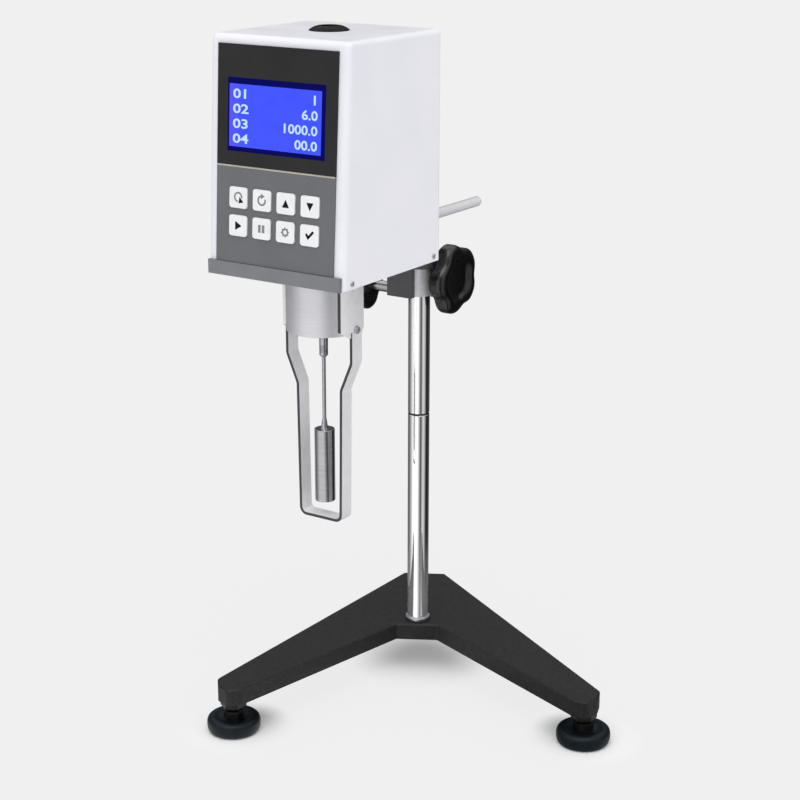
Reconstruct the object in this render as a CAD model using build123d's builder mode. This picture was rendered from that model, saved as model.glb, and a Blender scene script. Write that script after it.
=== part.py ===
from build123d import *
from math import atan2, cos, degrees, pi, radians, sin, sqrt, tan
import os

# A digital rotational viscometer on a swivelling column stand, in millimetres, +Z up.
# The display faces -Y. The origin is on the floor, in the middle of the footprint.

# ---------------------------------------------------------------- driving dimensions
# stand
foot_spread = 130.0        # levelling feet left and right of the base's centre line
foot_forward = 120.0       # front feet in front of the column
rear_foot_back = 72.0      # rear foot behind the column
base_turn = 29.2           # the base is turned by this angle under the head
casting_bottom = 28.0
casting_thickness = 13.0
pad_radius = 20.0
pad_height = 10.0
stud_diameter = 8.0
stud_hex = 13.0            # across flats of the stud flange
flange_height = 6.5
lock_nut_hex = 17.0
lock_nut_height = 8.0
stud_top = 36.5

# column
column_diameter = 16.6
column_joint_z = 213.2     # seam between the lower and the upper half
joint_ring_height = 1.6
column_top = 400.0
spigot_diameter = 12.0
column_bolt_diameter = 8.0
gear_module = 1.0
pinion_teeth = 17
pressure_angle = 20.0
rack_pitch_y = 5.8         # pitch line of the rack behind the column axis
rack_bottom = 218.0
rack_top = 352.0
tooth_play = 0.12          # each tooth is thinned by this much in all

# lift clamp, measured from the column axis
pinion_z = 320.0
clamp_top = 375.0
clamp_hub_radius = 12.5
clamp_half_width = 13.0    # gear housing behind the column
clamp_back = 27.0
box_below_pinion = 13.5
box_above_pinion = 14.0
hub_overlap = 4.5          # the hub starts this far below the top of the gear housing
liner_radius = 9.2         # half bush around the front of the column
liner_below_pinion = 12.5
liner_above_pinion = 9.0
lug_left = -20.0
lug_right = 1.6
lug_front = -14.0
lug_below_pinion = 13.0
lug_above_pinion = 25.0
lock_screw_y = -5.0
lock_screw_drop = 9.0      # below the pinion axis
lock_screw_diameter = 6.0
lift_knob_radius = 27.0
lift_knob_thickness = 11.5
lift_knob_face_x = 28.2
lock_knob_radius = 21.0
lock_knob_thickness = 12.0
lock_knob_inner_x = -44.0

# rod that carries the head
rod_diameter = 8.0
rod_x = -20.5              # beside the column
rod_z = 358.0
rod_end_y = 119.0          # behind the column axis

# head, measured from the rotor axis
head_reach = 96.0          # rotor axis in front of the column axis
head_width = 116.0
head_front = -57.0         # front face at the bottom
head_back = 66.0
head_bottom = 345.0
head_top = 510.0
head_setback = 10.0        # the front leans back by this much over the full height
head_wall = 1.5
head_corner = 4.0

# front panel, measured up the leaning front from its lower edge
panel_bottom = 354.7
panel_width = 100.0
panel_height = 149.3
panel_thickness = 1.6
panel_split = 67.0
trim_line = 0.6            # gap between the two panels, filled by a thin line
window_width = 82.0
window_height = 50.0
window_centre = 102.0
window_thickness = 1.4
key_width = 15.3
key_height = 14.6
key_pitch_x = 20.3
key_pitch_y = 19.5
key_row_centre = 35.7
key_proud = 0.9
key_travel = 0.7
key_gap = 0.3
ledge_height = 10.0
ledge_inset = 1.5          # from each side of the head
ledge_front = -59.2

# spindle housing, guard and rotor
housing_radius = 27.0
housing_drop = 46.1        # below the head
ear_half_angle = 32.0
ear_drop = 48.0
ear_narrowing = 5.0        # height over which the ears narrow to the strip
guard_width = 12.0
guard_thickness = 2.2
guard_upper_x = 28.4
guard_lower_x = 19.3
guard_foot_x = 18.0
guard_straight = 19.0      # strip below the ears before it bends inwards
guard_slant = 21.5         # height of the sloping part
guard_bottom = 154.5
guard_corner = 5.0
guard_bend = 6.0
coupling_diameter = 6.4
coupling_bottom = 274.4
shaft_diameter = 2.8
rotor_diameter = 15.0
rotor_top = 223.2
rotor_bottom = 167.7
rotor_cone = 8.5
rotor_cone_diameter = 5.5

# running clearances and seats
run = 0.05                 # radial, for shafts that turn or slide
seat = 0.02                # radial, for parts that are pressed or screwed in
apart = 0.4                # faces of different moving bodies

# ---------------------------------------------------------------- derived frames
turn = radians(base_turn)
foot_corner_x = [
    s * foot_spread * cos(turn) + foot_forward * sin(turn) for s in (-1, 1)
]
foot_corner_y = [
    s * foot_spread * sin(turn) - foot_forward * cos(turn) for s in (-1, 1)
]
x_low = rod_x - head_width / 2
x_high = foot_corner_x[1] + pad_radius
y_low = foot_corner_y[0] - pad_radius
y_high = rod_end_y
column_x = -(x_low + x_high) / 2
column_y = -(y_low + y_high) / 2
print("column axis at", round(column_x, 3), round(column_y, 3))

column = Plane((column_x, column_y, 0))
base = Plane((column_x, column_y, 0), x_dir=(cos(turn), sin(turn), 0), z_dir=(0, 0, 1))
head_x = column_x + rod_x
head_y = column_y - head_reach
head = Plane((head_x, head_y, 0))
head_side = Plane((head_x, head_y, 0), x_dir=(0, 1, 0), z_dir=(1, 0, 0))
lean = atan2(head_setback, head_top - head_bottom)
housing_bottom = head_bottom - housing_drop
ear_tip = head_bottom - ear_drop
ear_bottom = ear_tip + ear_narrowing
guard_bend_upper = ear_tip - guard_straight
guard_bend_lower = guard_bend_upper - guard_slant
clamp_box_bottom = pinion_z - box_below_pinion
clamp_box_top = pinion_z + box_above_pinion
clamp_hub_bottom = clamp_box_top - hub_overlap
liner_bottom = pinion_z - liner_below_pinion
liner_top = pinion_z + liner_above_pinion
lug_bottom = pinion_z - lug_below_pinion
lug_top = pinion_z + lug_above_pinion
lock_screw_z = pinion_z - lock_screw_drop
ledge_width = head_width - 2 * ledge_inset


def front_at(z):
    return head_front + (z - head_bottom) * tan(lean)


panel = Plane(
    (head_x, head_y + front_at(panel_bottom), panel_bottom),
    x_dir=(1, 0, 0),
    z_dir=(0, -cos(lean), sin(lean)),
)


def across(x, y, z):
    """Plane facing +X at a point measured from the column axis."""
    return Plane((column_x + x, column_y + y, z), x_dir=(0, 1, 0), z_dir=(1, 0, 0))


def backwards(x, y, z):
    """Plane facing +Y at a point measured from the rotor axis."""
    return Plane((head_x + x, head_y + y, z), x_dir=(-1, 0, 0), z_dir=(0, 1, 0))


os.makedirs("parts", exist_ok=True)


def finish(builder, label):
    builder.part.label = label
    export_step(builder.part, "parts/" + label + ".step")


# ---------------------------------------------------------------- base casting
casting_top = casting_bottom + casting_thickness
back_half = 17.4
back_y = 92.8
notch_half = 16.2
notch_y = -13.2
spigot_depth = 5.0
bolt_head_diameter = 13.0
bolt_head_height = 5.6
counterbore = 15.0
feet = {
    "left": (-foot_spread, -foot_forward),
    "right": (foot_spread, -foot_forward),
    "rear": (0.0, rear_foot_back),
}
tip = [
    (foot_spread + 11.5, -foot_forward + 0.5),
    (foot_spread + 9.5, -foot_forward - 10.5),
    (foot_spread + 0.5, -foot_forward - 20.8),
    (foot_spread - 9.5, -foot_forward - 15.5),
]
right_half = [(back_half, back_y)] + tip + [(notch_half, notch_y)]
left_half = [(-x, y) for x, y in reversed(right_half)]
with BuildPart() as base_casting:
    with BuildSketch(base.offset(casting_bottom)) as outline:
        with BuildLine():
            Polyline(*right_half, *left_half, close=True)
        make_face()
        tips = outline.vertices().filter_by(lambda v: abs(v.X) > foot_spread / 2)
        fillet(tips, radius=5.0)
        fillet(outline.vertices().filter_by(lambda v: abs(v.X) < foot_spread / 2), radius=2.5)
    extrude(amount=casting_thickness)
    chamfer(base_casting.faces().sort_by(Axis.Z)[-1].edges(), length=1.0)
    with Locations(base.offset(casting_top)):
        Hole(radius=spigot_diameter / 2 + run)
    with Locations(Plane(base.origin + Vector(0, 0, casting_bottom), x_dir=base.x_dir, z_dir=(0, 0, -1))):
        Hole(radius=counterbore / 2, depth=casting_thickness - spigot_depth)
    with BuildSketch(base.offset(casting_bottom)):
        with Locations(*feet.values()):
            Circle(stud_diameter / 2 + run)
    extrude(amount=stud_top + 0.5 - casting_bottom, mode=Mode.SUBTRACT)
finish(base_casting, "base_casting")

# ---------------------------------------------------------------- levelling feet
for name, (fx, fy) in feet.items():
    side = base.shift_origin(base.from_local_coords((fx, fy, 0)))
    with BuildPart() as foot_pad:
        with BuildSketch(side):
            Circle(pad_radius)
        extrude(amount=pad_height)
        chamfer(foot_pad.faces().sort_by(Axis.Z)[-1].edges(), length=2.4)
        with BuildSketch(side.offset(4.0)):
            Circle(stud_diameter / 2 + seat)
        extrude(amount=pad_height, mode=Mode.SUBTRACT)
    finish(foot_pad, "foot_pad_" + name)

    with BuildPart() as foot_stud:
        with BuildSketch(side.offset(4.0)):
            Circle(stud_diameter / 2)
        extrude(amount=stud_top - 4.0)
        with BuildSketch(side.offset(pad_height)):
            RegularPolygon(stud_hex / 2, 6, major_radius=False)
        extrude(amount=flange_height)
    finish(foot_stud, "foot_stud_" + name)

with BuildPart() as foot_lock_nuts:
    with BuildSketch(base.offset(casting_bottom - lock_nut_height)):
        with Locations(*feet.values()):
            RegularPolygon(lock_nut_hex / 2, 6, major_radius=False)
            Circle(stud_diameter / 2 + run, mode=Mode.SUBTRACT)
    extrude(amount=lock_nut_height)
finish(foot_lock_nuts, "foot_lock_nuts")

# ---------------------------------------------------------------- column
spigot_z = casting_top - spigot_depth + 0.1
bolt_top = casting_top + 16.0
joint_stud = 8.0
joint_stud_top = column_joint_z + 20.0
column_foot = casting_top + run
with BuildPart() as lower_column:
    with BuildSketch(column.offset(column_foot)):
        Circle(column_diameter / 2)
    extrude(amount=column_joint_z - column_foot)
    with BuildSketch(column.offset(spigot_z)):
        Circle(spigot_diameter / 2)
    extrude(amount=column_foot - spigot_z)
    with BuildSketch(column.offset(column_joint_z)):
        Circle(joint_stud / 2)
    extrude(amount=joint_stud_top - column_joint_z)
    with BuildSketch(column.offset(spigot_z)):
        Circle(column_bolt_diameter / 2 + seat)
    extrude(amount=bolt_top + 0.5 - spigot_z, mode=Mode.SUBTRACT)
finish(lower_column, "lower_column")

foot_ring_radius = 9.8
with BuildPart() as column_foot_ring:
    with BuildSketch(column.offset(column_foot)):
        Circle(foot_ring_radius)
        Circle(column_diameter / 2 + seat, mode=Mode.SUBTRACT)
    extrude(amount=3.0)
finish(column_foot_ring, "column_foot_ring")

washer_top = casting_top - spigot_depth - run
with BuildPart() as column_bolt:
    with BuildSketch(column.offset(washer_top - bolt_head_height)):
        Circle(bolt_head_diameter / 2)
    extrude(amount=bolt_head_height)
    with BuildSketch(column.offset(washer_top)):
        Circle(column_bolt_diameter / 2)
    extrude(amount=bolt_top - washer_top)
    with BuildSketch(column.offset(washer_top - bolt_head_height)):
        RegularPolygon(3.0, 6, major_radius=False)
    extrude(amount=3.5, mode=Mode.SUBTRACT)
finish(column_bolt, "column_bolt")

upper_column_z = column_joint_z + joint_ring_height
with BuildPart() as column_joint_ring:
    with BuildSketch(column.offset(column_joint_z)):
        Circle(column_diameter / 2 - 0.5)
        Circle(joint_stud / 2 + seat, mode=Mode.SUBTRACT)
    extrude(amount=joint_ring_height)
finish(column_joint_ring, "column_joint_ring")

# rack teeth: straight flanks at the pressure angle, one gap level with the pinion axis
pitch = pi * gear_module
addendum = 0.95 * gear_module
dedendum = 1.25 * gear_module
slope = tan(radians(pressure_angle))
rack_tip_y = rack_pitch_y + addendum
rack_root_y = rack_pitch_y - dedendum
half_tooth = pitch / 4 - tooth_play / 4
tip_half = half_tooth - addendum * slope
root_half = half_tooth + dedendum * slope
first_tooth = int((rack_bottom - pinion_z) / pitch)
last_tooth = int((rack_top - pinion_z) / pitch)
rack_line = [(column_diameter, pinion_z + (first_tooth - 0.5) * pitch)]
rack_line.append((rack_tip_y, pinion_z + (first_tooth - 0.5) * pitch))
for k in range(first_tooth, last_tooth):
    gap_top = pinion_z + (k + 0.5) * pitch
    gap_bottom = gap_top - pitch
    rack_line.append((rack_tip_y, gap_bottom + tip_half))
    rack_line.append((rack_root_y, gap_bottom + root_half))
    rack_line.append((rack_root_y, gap_top - root_half))
    rack_line.append((rack_tip_y, gap_top - tip_half))
rack_line.append((rack_tip_y, pinion_z + (last_tooth - 0.5) * pitch))
rack_line.append((column_diameter, pinion_z + (last_tooth - 0.5) * pitch))
with BuildPart() as upper_column:
    with BuildSketch(column.offset(upper_column_z)):
        Circle(column_diameter / 2)
    extrude(amount=column_top - upper_column_z)
    chamfer(upper_column.faces().sort_by(Axis.Z)[-1].edges(), length=1.0)
    with BuildSketch(column.offset(upper_column_z)):
        Circle(joint_stud / 2 + seat)
    extrude(amount=joint_stud_top + 0.5 - upper_column_z, mode=Mode.SUBTRACT)
    with BuildSketch(across(0, 0, 0)):
        with BuildLine():
            Polyline(*rack_line, close=True)
        make_face()
    extrude(amount=column_diameter / 2, both=True, mode=Mode.SUBTRACT)
finish(upper_column, "upper_column")

# ---------------------------------------------------------------- lift clamp
pinion_radius = gear_module * pinion_teeth / 2
pinion_y = rack_pitch_y + pinion_radius
pinion_half = 4.5
pinion_shaft_diameter = 8.0
pinion_bore = pinion_radius + gear_module + 0.7
bush_inner_x = pinion_half + 0.4
boss_left = rod_x - 11.0
boss_right = -8.0
boss_front = -12.0
boss_back = 16.0
boss_half_height = 13.0
thumb_tip_x = rod_x - rod_diameter / 2
with BuildPart() as clamp_body:
    with BuildSketch(column.offset(clamp_hub_bottom)):
        Circle(clamp_hub_radius)
    extrude(amount=clamp_top - clamp_hub_bottom)
    box_front = 2.0
    with BuildSketch(column.offset(clamp_box_bottom)):
        with Locations((0, (box_front + clamp_back) / 2)):
            RectangleRounded(2 * clamp_half_width, clamp_back - box_front, 3.0)
    extrude(amount=clamp_box_top - clamp_box_bottom)
    lug_back = 4.0
    with BuildSketch(column.offset(lug_bottom)):
        with Locations(((lug_left + lug_right) / 2, (lug_front + lug_back) / 2)):
            Rectangle(lug_right - lug_left, lug_back - lug_front)
    extrude(amount=lug_top - lug_bottom)
    with BuildSketch(backwards(0, head_reach + boss_front, rod_z)):
        with Locations((-(boss_left + boss_right) / 2 + rod_x, 0)):
            RectangleRounded(boss_right - boss_left, 2 * boss_half_height, 4.0)
    extrude(amount=boss_back - boss_front)
    # bores: column, front bush, pinion pocket from the right, shaft, rod and the two screws
    with BuildSketch(column.offset(clamp_box_bottom - 5.0)):
        Circle(column_diameter / 2 + run)
    extrude(amount=clamp_top - clamp_box_bottom + 10.0, mode=Mode.SUBTRACT)
    with BuildSketch(column.offset(clamp_box_bottom - 1.0)):
        Circle(liner_radius + seat)
    extrude(amount=liner_top - clamp_box_bottom + 1.0, mode=Mode.SUBTRACT)
    with BuildSketch(across(-bush_inner_x, pinion_y, pinion_z)):
        Circle(pinion_bore)
    extrude(amount=clamp_half_width + bush_inner_x + 1.0, mode=Mode.SUBTRACT)
    with BuildSketch(across(-clamp_half_width + 3.0, pinion_y, pinion_z)):
        Circle(pinion_shaft_diameter / 2 + run)
    extrude(amount=clamp_half_width, mode=Mode.SUBTRACT)
    with BuildSketch(backwards(0, head_reach + boss_front - 5.0, rod_z)):
        Circle(rod_diameter / 2 + run)
    extrude(amount=boss_back - boss_front + 10.0, mode=Mode.SUBTRACT)
    with BuildSketch(across(lug_left - 1.0, lock_screw_y, lock_screw_z)):
        Circle(lock_screw_diameter / 2 + run)
    extrude(amount=-lug_left + 1.0, mode=Mode.SUBTRACT)
    with BuildSketch(across(boss_left - 1.0, (boss_front + boss_back) / 2, rod_z)):
        Circle(2.5 + run)
    extrude(amount=thumb_tip_x - boss_left + 2.0, mode=Mode.SUBTRACT)
finish(clamp_body, "clamp_body")

with BuildPart() as clamp_liner:
    with BuildSketch(column.offset(liner_bottom)):
        Circle(liner_radius)
        Circle(column_diameter / 2 + run, mode=Mode.SUBTRACT)
        with Locations((0, box_front + liner_radius)):
            Rectangle(4 * liner_radius, 2 * liner_radius + 0.1, mode=Mode.SUBTRACT)
    extrude(amount=liner_top - liner_bottom)
    with BuildSketch(across(-2 * liner_radius, lock_screw_y, lock_screw_z)):
        Circle(lock_screw_diameter / 2 + run)
    extrude(amount=2 * liner_radius, mode=Mode.SUBTRACT)
finish(clamp_liner, "clamp_liner")

with BuildPart() as pinion_bush:
    with BuildSketch(across(bush_inner_x, pinion_y, pinion_z)):
        Circle(pinion_bore - seat)
        Circle(pinion_shaft_diameter / 2 + run, mode=Mode.SUBTRACT)
    extrude(amount=clamp_half_width - bush_inner_x)
    with BuildSketch(column.offset(clamp_box_bottom)):
        Circle(liner_radius + seat)
    extrude(amount=clamp_top - clamp_box_bottom, mode=Mode.SUBTRACT)
finish(pinion_bush, "pinion_bush")

shoe_length = 5.0
shoe_x = -sqrt((column_diameter / 2) ** 2 - lock_screw_y**2) - shoe_length + 0.4
with BuildPart() as brake_shoe:
    with BuildSketch(across(shoe_x, lock_screw_y, lock_screw_z)):
        Circle(lock_screw_diameter / 2 + run - seat)
    extrude(amount=shoe_length + 4.0)
    with BuildSketch(column.offset(lock_screw_z - 10.0)):
        Circle(column_diameter / 2 + run)
    extrude(amount=20.0, mode=Mode.SUBTRACT)
    split(bisect_by=across(0, 0, 0), keep=Keep.BOTTOM)
finish(brake_shoe, "brake_shoe")

# pinion: involute flanks up to the tip circle, radial below the base circle
base_radius = pinion_radius * cos(radians(pressure_angle))
tip_radius = pinion_radius + addendum
root_radius = pinion_radius - dedendum


def involute(angle):
    return tan(angle) - angle


def flank_angle(radius):
    """Half the angular width of a tooth at a radius."""
    at_pitch = pi / (2 * pinion_teeth) - tooth_play / (4 * pinion_radius)
    at = at_pitch + involute(radians(pressure_angle))
    if radius > base_radius:
        at -= involute(atan2(sqrt(radius**2 - base_radius**2), base_radius))
    return at


flank_steps = [root_radius, base_radius] + [
    base_radius + (tip_radius - base_radius) * i / 3 for i in (1, 2, 3)
]
gear_line = []
for k in range(pinion_teeth):
    middle = pi + 2 * pi * k / pinion_teeth
    for r in flank_steps:
        gear_line.append((r * cos(middle - flank_angle(r)), r * sin(middle - flank_angle(r))))
    for r in reversed(flank_steps):
        gear_line.append((r * cos(middle + flank_angle(r)), r * sin(middle + flank_angle(r))))
shaft_left_x = -clamp_half_width + 3.5
shaft_right_x = lift_knob_face_x - 4.0
with BuildPart() as lift_pinion:
    with BuildSketch(across(-pinion_half, pinion_y, pinion_z)):
        with BuildLine():
            Polyline(*gear_line, close=True)
        make_face()
    extrude(amount=2 * pinion_half)
    with BuildSketch(across(shaft_left_x, pinion_y, pinion_z)):
        Circle(pinion_shaft_diameter / 2)
    extrude(amount=shaft_right_x - shaft_left_x)
finish(lift_pinion, "lift_pinion")


def star_profile(radius, lobes, phase):
    """Round disc with a hollow between each two lobes, for the builder that is open."""
    scoop = radius * 0.60
    reach = radius * 1.46
    Circle(radius)
    with PolarLocations(reach, lobes, start_angle=phase):
        Circle(scoop, mode=Mode.SUBTRACT)


# lift knob: five lobes, dished face, hub towards the clamp
knob_gap = 0.5
with BuildPart() as lift_knob:
    with BuildSketch(across(lift_knob_face_x - lift_knob_thickness, pinion_y, pinion_z)) as lift_star:
        star_profile(lift_knob_radius, 5, 0)
        fillet(lift_star.vertices(), radius=5.5)
    extrude(amount=lift_knob_thickness)
    chamfer(lift_knob.faces().sort_by(Axis.X)[-1].edges(), length=2.0)
    with BuildSketch(across(clamp_half_width + knob_gap, pinion_y, pinion_z)):
        Circle(12.0)
    extrude(amount=lift_knob_face_x - lift_knob_thickness - clamp_half_width - knob_gap)
    with BuildSketch(across(lift_knob_face_x, pinion_y, pinion_z)):
        Circle(19.5)
    extrude(amount=-3.0, taper=35, mode=Mode.SUBTRACT)
    with BuildSketch(across(clamp_half_width, pinion_y, pinion_z)):
        Circle(pinion_shaft_diameter / 2 + seat)
    extrude(amount=shaft_right_x - clamp_half_width, mode=Mode.SUBTRACT)
finish(lift_knob, "lift_knob")

# clamp lock: knob, screw and its hub on the left
lock_knob_outer_x = lock_knob_inner_x - lock_knob_thickness
lock_hub_x = -37.5
screw_tip_x = shoe_x - 0.6
with BuildPart() as lock_screw:
    with BuildSketch(across(lock_knob_outer_x + 4.0, lock_screw_y, lock_screw_z)):
        Circle(lock_screw_diameter / 2)
    extrude(amount=screw_tip_x - lock_knob_outer_x - 4.0)
    with BuildSketch(across(lock_hub_x, lock_screw_y, lock_screw_z)):
        Circle(4.2)
    extrude(amount=lug_left - 1.5 - lock_hub_x)
finish(lock_screw, "lock_screw")

with BuildPart() as lock_knob:
    with BuildSketch(across(lock_knob_outer_x, lock_screw_y, lock_screw_z)) as lock_star:
        star_profile(lock_knob_radius, 5, 36)
        fillet(lock_star.vertices(), radius=4.2)
    extrude(amount=lock_knob_thickness)
    chamfer(lock_knob.faces().sort_by(Axis.X)[0].edges(), length=1.6)
    with BuildSketch(across(lock_knob_inner_x, lock_screw_y, lock_screw_z)):
        Circle(8.0)
    extrude(amount=lock_hub_x - lock_knob_inner_x)
    with BuildSketch(across(lock_knob_outer_x, lock_screw_y, lock_screw_z)):
        Circle(14.5)
    extrude(amount=2.5, taper=35, mode=Mode.SUBTRACT)
    with BuildSketch(across(lock_knob_outer_x + 4.0, lock_screw_y, lock_screw_z)):
        Circle(lock_screw_diameter / 2 + seat)
    extrude(amount=lock_hub_x - lock_knob_outer_x, mode=Mode.SUBTRACT)
finish(lock_knob, "lock_knob")

# rod lock: a short thumb screw on the left of the rod boss
thumb_y = (boss_front + boss_back) / 2
thumb_head_x = boss_left - 3.0
with BuildPart() as rod_thumb_screw:
    with BuildSketch(across(thumb_head_x - 8.0, thumb_y, rod_z)):
        Circle(8.0)
    extrude(amount=8.0)
    with BuildSketch(across(thumb_head_x, thumb_y, rod_z)):
        Circle(2.5)
    extrude(amount=thumb_tip_x - 0.3 - thumb_head_x)
finish(rod_thumb_screw, "rod_thumb_screw")

# ---------------------------------------------------------------- rod and its seat in the head
rod_thread_y = head_back - head_wall - 8.5
rod_tail_y = head_reach + rod_end_y
flange_radius = 13.0
flange_depth = 4.0
with BuildPart() as head_rod:
    with BuildSketch(backwards(0, rod_thread_y, rod_z)):
        Circle(rod_diameter / 2)
    extrude(amount=rod_tail_y - rod_thread_y)
    with BuildSketch(backwards(0, head_back, rod_z)):
        Circle(flange_radius)
    extrude(amount=flange_depth)
finish(head_rod, "head_rod")

with BuildPart() as rod_nut:
    with BuildSketch(backwards(0, head_back - head_wall - 6.0, rod_z)):
        RegularPolygon(6.5, 6, major_radius=False)
        Circle(rod_diameter / 2 + seat, mode=Mode.SUBTRACT)
    extrude(amount=6.0)
finish(rod_nut, "rod_nut")

# ---------------------------------------------------------------- head cover
level_y = head_reach - 85.0
level_radius = 14.3
level_height = 5.0
vial_radius = 5.8
inlet_x = -32.0
switch_x = 31.0
socket_z = 388.0
inlet_size = (27.4, 20.0)
switch_size = (21.0, 15.0)
probe_z = 425.0
probe_radius = 6.0
vent_z = 480.0
inner_front = head_wall / cos(lean)
with BuildPart() as head_cover:
    with BuildSketch(head_side.offset(-head_width / 2)):
        with BuildLine():
            Polyline(
                (head_front, head_bottom),
                (head_back, head_bottom),
                (head_back, head_top),
                (head_front + head_setback, head_top),
                close=True,
            )
        make_face()
    extrude(amount=head_width)
    uprights = head_cover.edges().filter_by(lambda e: abs(e.tangent_at(0.5).Z) > 0.9)
    fillet(uprights, radius=head_corner)
    fillet(head_cover.faces().sort_by(Axis.Z)[-1].edges(), radius=head_corner)
    with BuildPart(mode=Mode.SUBTRACT) as cavity:
        with BuildSketch(head_side.offset(head_wall - head_width / 2)):
            with BuildLine():
                Polyline(
                    (front_at(head_bottom - 1.0) + inner_front, head_bottom - 1.0),
                    (head_back - head_wall, head_bottom - 1.0),
                    (head_back - head_wall, head_top - head_wall),
                    (front_at(head_top - head_wall) + inner_front, head_top - head_wall),
                    close=True,
                )
            make_face()
        extrude(amount=head_width - 2 * head_wall)
        inner_uprights = cavity.edges().filter_by(lambda e: abs(e.tangent_at(0.5).Z) > 0.9)
        fillet(inner_uprights, radius=head_corner - head_wall)
        chamfer(cavity.faces().sort_by(Axis.Z)[-1].edges(), length=1.2)
    # front openings behind the display and the keys
    with BuildSketch(panel.offset(-head_wall - 1.0)):
        with Locations((0, window_centre)):
            Rectangle(window_width + 4.0, window_height + 4.0)
        with Locations((0, key_row_centre)):
            Rectangle(4 * key_pitch_x + 2.0, 2 * key_pitch_y + 2.0)
    extrude(amount=head_wall + 2.0, mode=Mode.SUBTRACT)
    # back: rod, inlet, switch, probe socket and vents
    with BuildSketch(backwards(0, head_back - head_wall - 1.0, rod_z)):
        Circle(rod_diameter / 2 + seat)
    extrude(amount=head_wall + 2.0, mode=Mode.SUBTRACT)
    with BuildSketch(backwards(0, head_back - head_wall - 1.0, socket_z)):
        with Locations((-inlet_x, 0)):
            Rectangle(*inlet_size)
        with Locations((-switch_x, 0)):
            Rectangle(*switch_size)
        with Locations((0, probe_z - socket_z)):
            Circle(probe_radius)
        with Locations((0, vent_z - socket_z)):
            with GridLocations(0, 6.0, 1, 5):
                SlotOverall(60.0, 2.4)
    extrude(amount=head_wall + 2.0, mode=Mode.SUBTRACT)
    # top: stud of the level
    with BuildSketch(head.offset(head_top - head_wall - 1.0)):
        with Locations((0, level_y)):
            Circle(3.0)
    extrude(amount=head_wall + 2.0, mode=Mode.SUBTRACT)
finish(head_cover, "head_cover")

with BuildPart() as front_ledge:
    with BuildSketch(head_side.offset(-ledge_width / 2)):
        with BuildLine():
            Polyline(
                (ledge_front, head_bottom - 0.4),
                (front_at(head_bottom), head_bottom - 0.4),
                (front_at(head_bottom), head_bottom),
                (front_at(panel_bottom - 0.2), panel_bottom - 0.2),
                (ledge_front, panel_bottom - 0.2),
                close=True,
            )
        make_face()
    extrude(amount=ledge_width)
finish(front_ledge, "front_ledge")

# ---------------------------------------------------------------- display and keys
with BuildPart() as display_panel:
    with BuildSketch(panel):
        with Locations((0, (panel_split + panel_height) / 2)):
            Rectangle(panel_width, panel_height - panel_split)
        with Locations((0, window_centre)):
            Rectangle(window_width + 0.1, window_height + 0.1, mode=Mode.SUBTRACT)
    extrude(amount=panel_thickness)
finish(display_panel, "display_panel")

with BuildPart() as display_window:
    with BuildSketch(panel.offset(0.0)):
        with Locations((0, window_centre)):
            Rectangle(window_width, window_height)
    extrude(amount=window_thickness)
finish(display_window, "display_window")

module_depth = 7.0
module_border = 1.7
module_board_border = 6.6
small_board_thickness = 1.6
post_size = 4.0
post_inset = 2.3
with BuildPart() as display_module:
    with BuildSketch(panel):
        with Locations((0, window_centre)):
            Rectangle(window_width + 2 * module_border, window_height + 2 * module_border)
    extrude(amount=-module_depth)
    board_size = (window_width + 2 * module_board_border, window_height + 2 * module_board_border)
    with BuildSketch(panel.offset(-module_depth)):
        with Locations((0, window_centre)):
            Rectangle(*board_size)
    extrude(amount=-small_board_thickness)
    with BuildSketch(panel.offset(-module_depth)):
        with Locations((0, window_centre)):
            with GridLocations(board_size[0] - 2 * post_inset, board_size[1] - 2 * post_inset, 2, 2):
                Rectangle(post_size, post_size)
    extrude(amount=module_depth - head_wall)
finish(display_module, "display_module")

key_places = [
    ((i - 1.5) * key_pitch_x, key_row_centre + (0.5 - j) * key_pitch_y)
    for j in range(2)
    for i in range(4)
]
key_names = ["auto", "return", "up", "down", "run", "pause", "setup", "confirm"]
with BuildPart() as keypad_panel:
    with BuildSketch(panel):
        with Locations((0, (panel_split - trim_line) / 2)):
            Rectangle(panel_width, panel_split - trim_line)
        with Locations(*key_places):
            RectangleRounded(key_width + 2 * key_gap, key_height + 2 * key_gap, 2.0 + key_gap, mode=Mode.SUBTRACT)
    extrude(amount=panel_thickness)
finish(keypad_panel, "keypad_panel")

key_flange = 1.0
flange_gap = 0.3
for name, (kx, ky) in zip(key_names, key_places):
    with BuildPart() as key:
        with BuildSketch(panel.offset(-flange_gap)):
            with Locations((kx, ky)):
                RectangleRounded(key_width, key_height, 2.0)
        extrude(amount=panel_thickness + key_proud + flange_gap)
        with BuildSketch(panel.offset(-flange_gap)):
            with Locations((kx, ky)):
                Rectangle(key_width + 2.0, key_height + 2.0)
        extrude(amount=-key_flange)
    finish(key, "key_" + name)

switch_stem_top = -flange_gap - key_flange - key_travel - 0.35
keypad_depth = 8.0
keypad_board_border = 7.0
key_switch = 6.0
key_switch_height = 3.5
key_stem = 3.0
board_size = (4 * key_pitch_x + 2 * keypad_board_border - 2.0, 2 * key_pitch_y + 2 * keypad_board_border)
with BuildPart() as keypad_board:
    with BuildSketch(panel.offset(-keypad_depth)):
        with Locations((0, key_row_centre)):
            Rectangle(*board_size)
    extrude(amount=-small_board_thickness)
    with BuildSketch(panel.offset(-keypad_depth)):
        with Locations(*key_places):
            Rectangle(key_switch, key_switch)
    extrude(amount=key_switch_height)
    with BuildSketch(panel.offset(key_switch_height - keypad_depth)):
        with Locations(*key_places):
            Rectangle(key_stem, key_stem)
    extrude(amount=keypad_depth - key_switch_height + switch_stem_top)
    with BuildSketch(panel.offset(-keypad_depth)):
        with Locations((0, key_row_centre)):
            with GridLocations(board_size[0] - 2 * post_inset, board_size[1] - 2 * post_inset, 2, 2):
                Rectangle(post_size, post_size)
    extrude(amount=keypad_depth - head_wall)
finish(keypad_board, "keypad_board")

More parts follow.
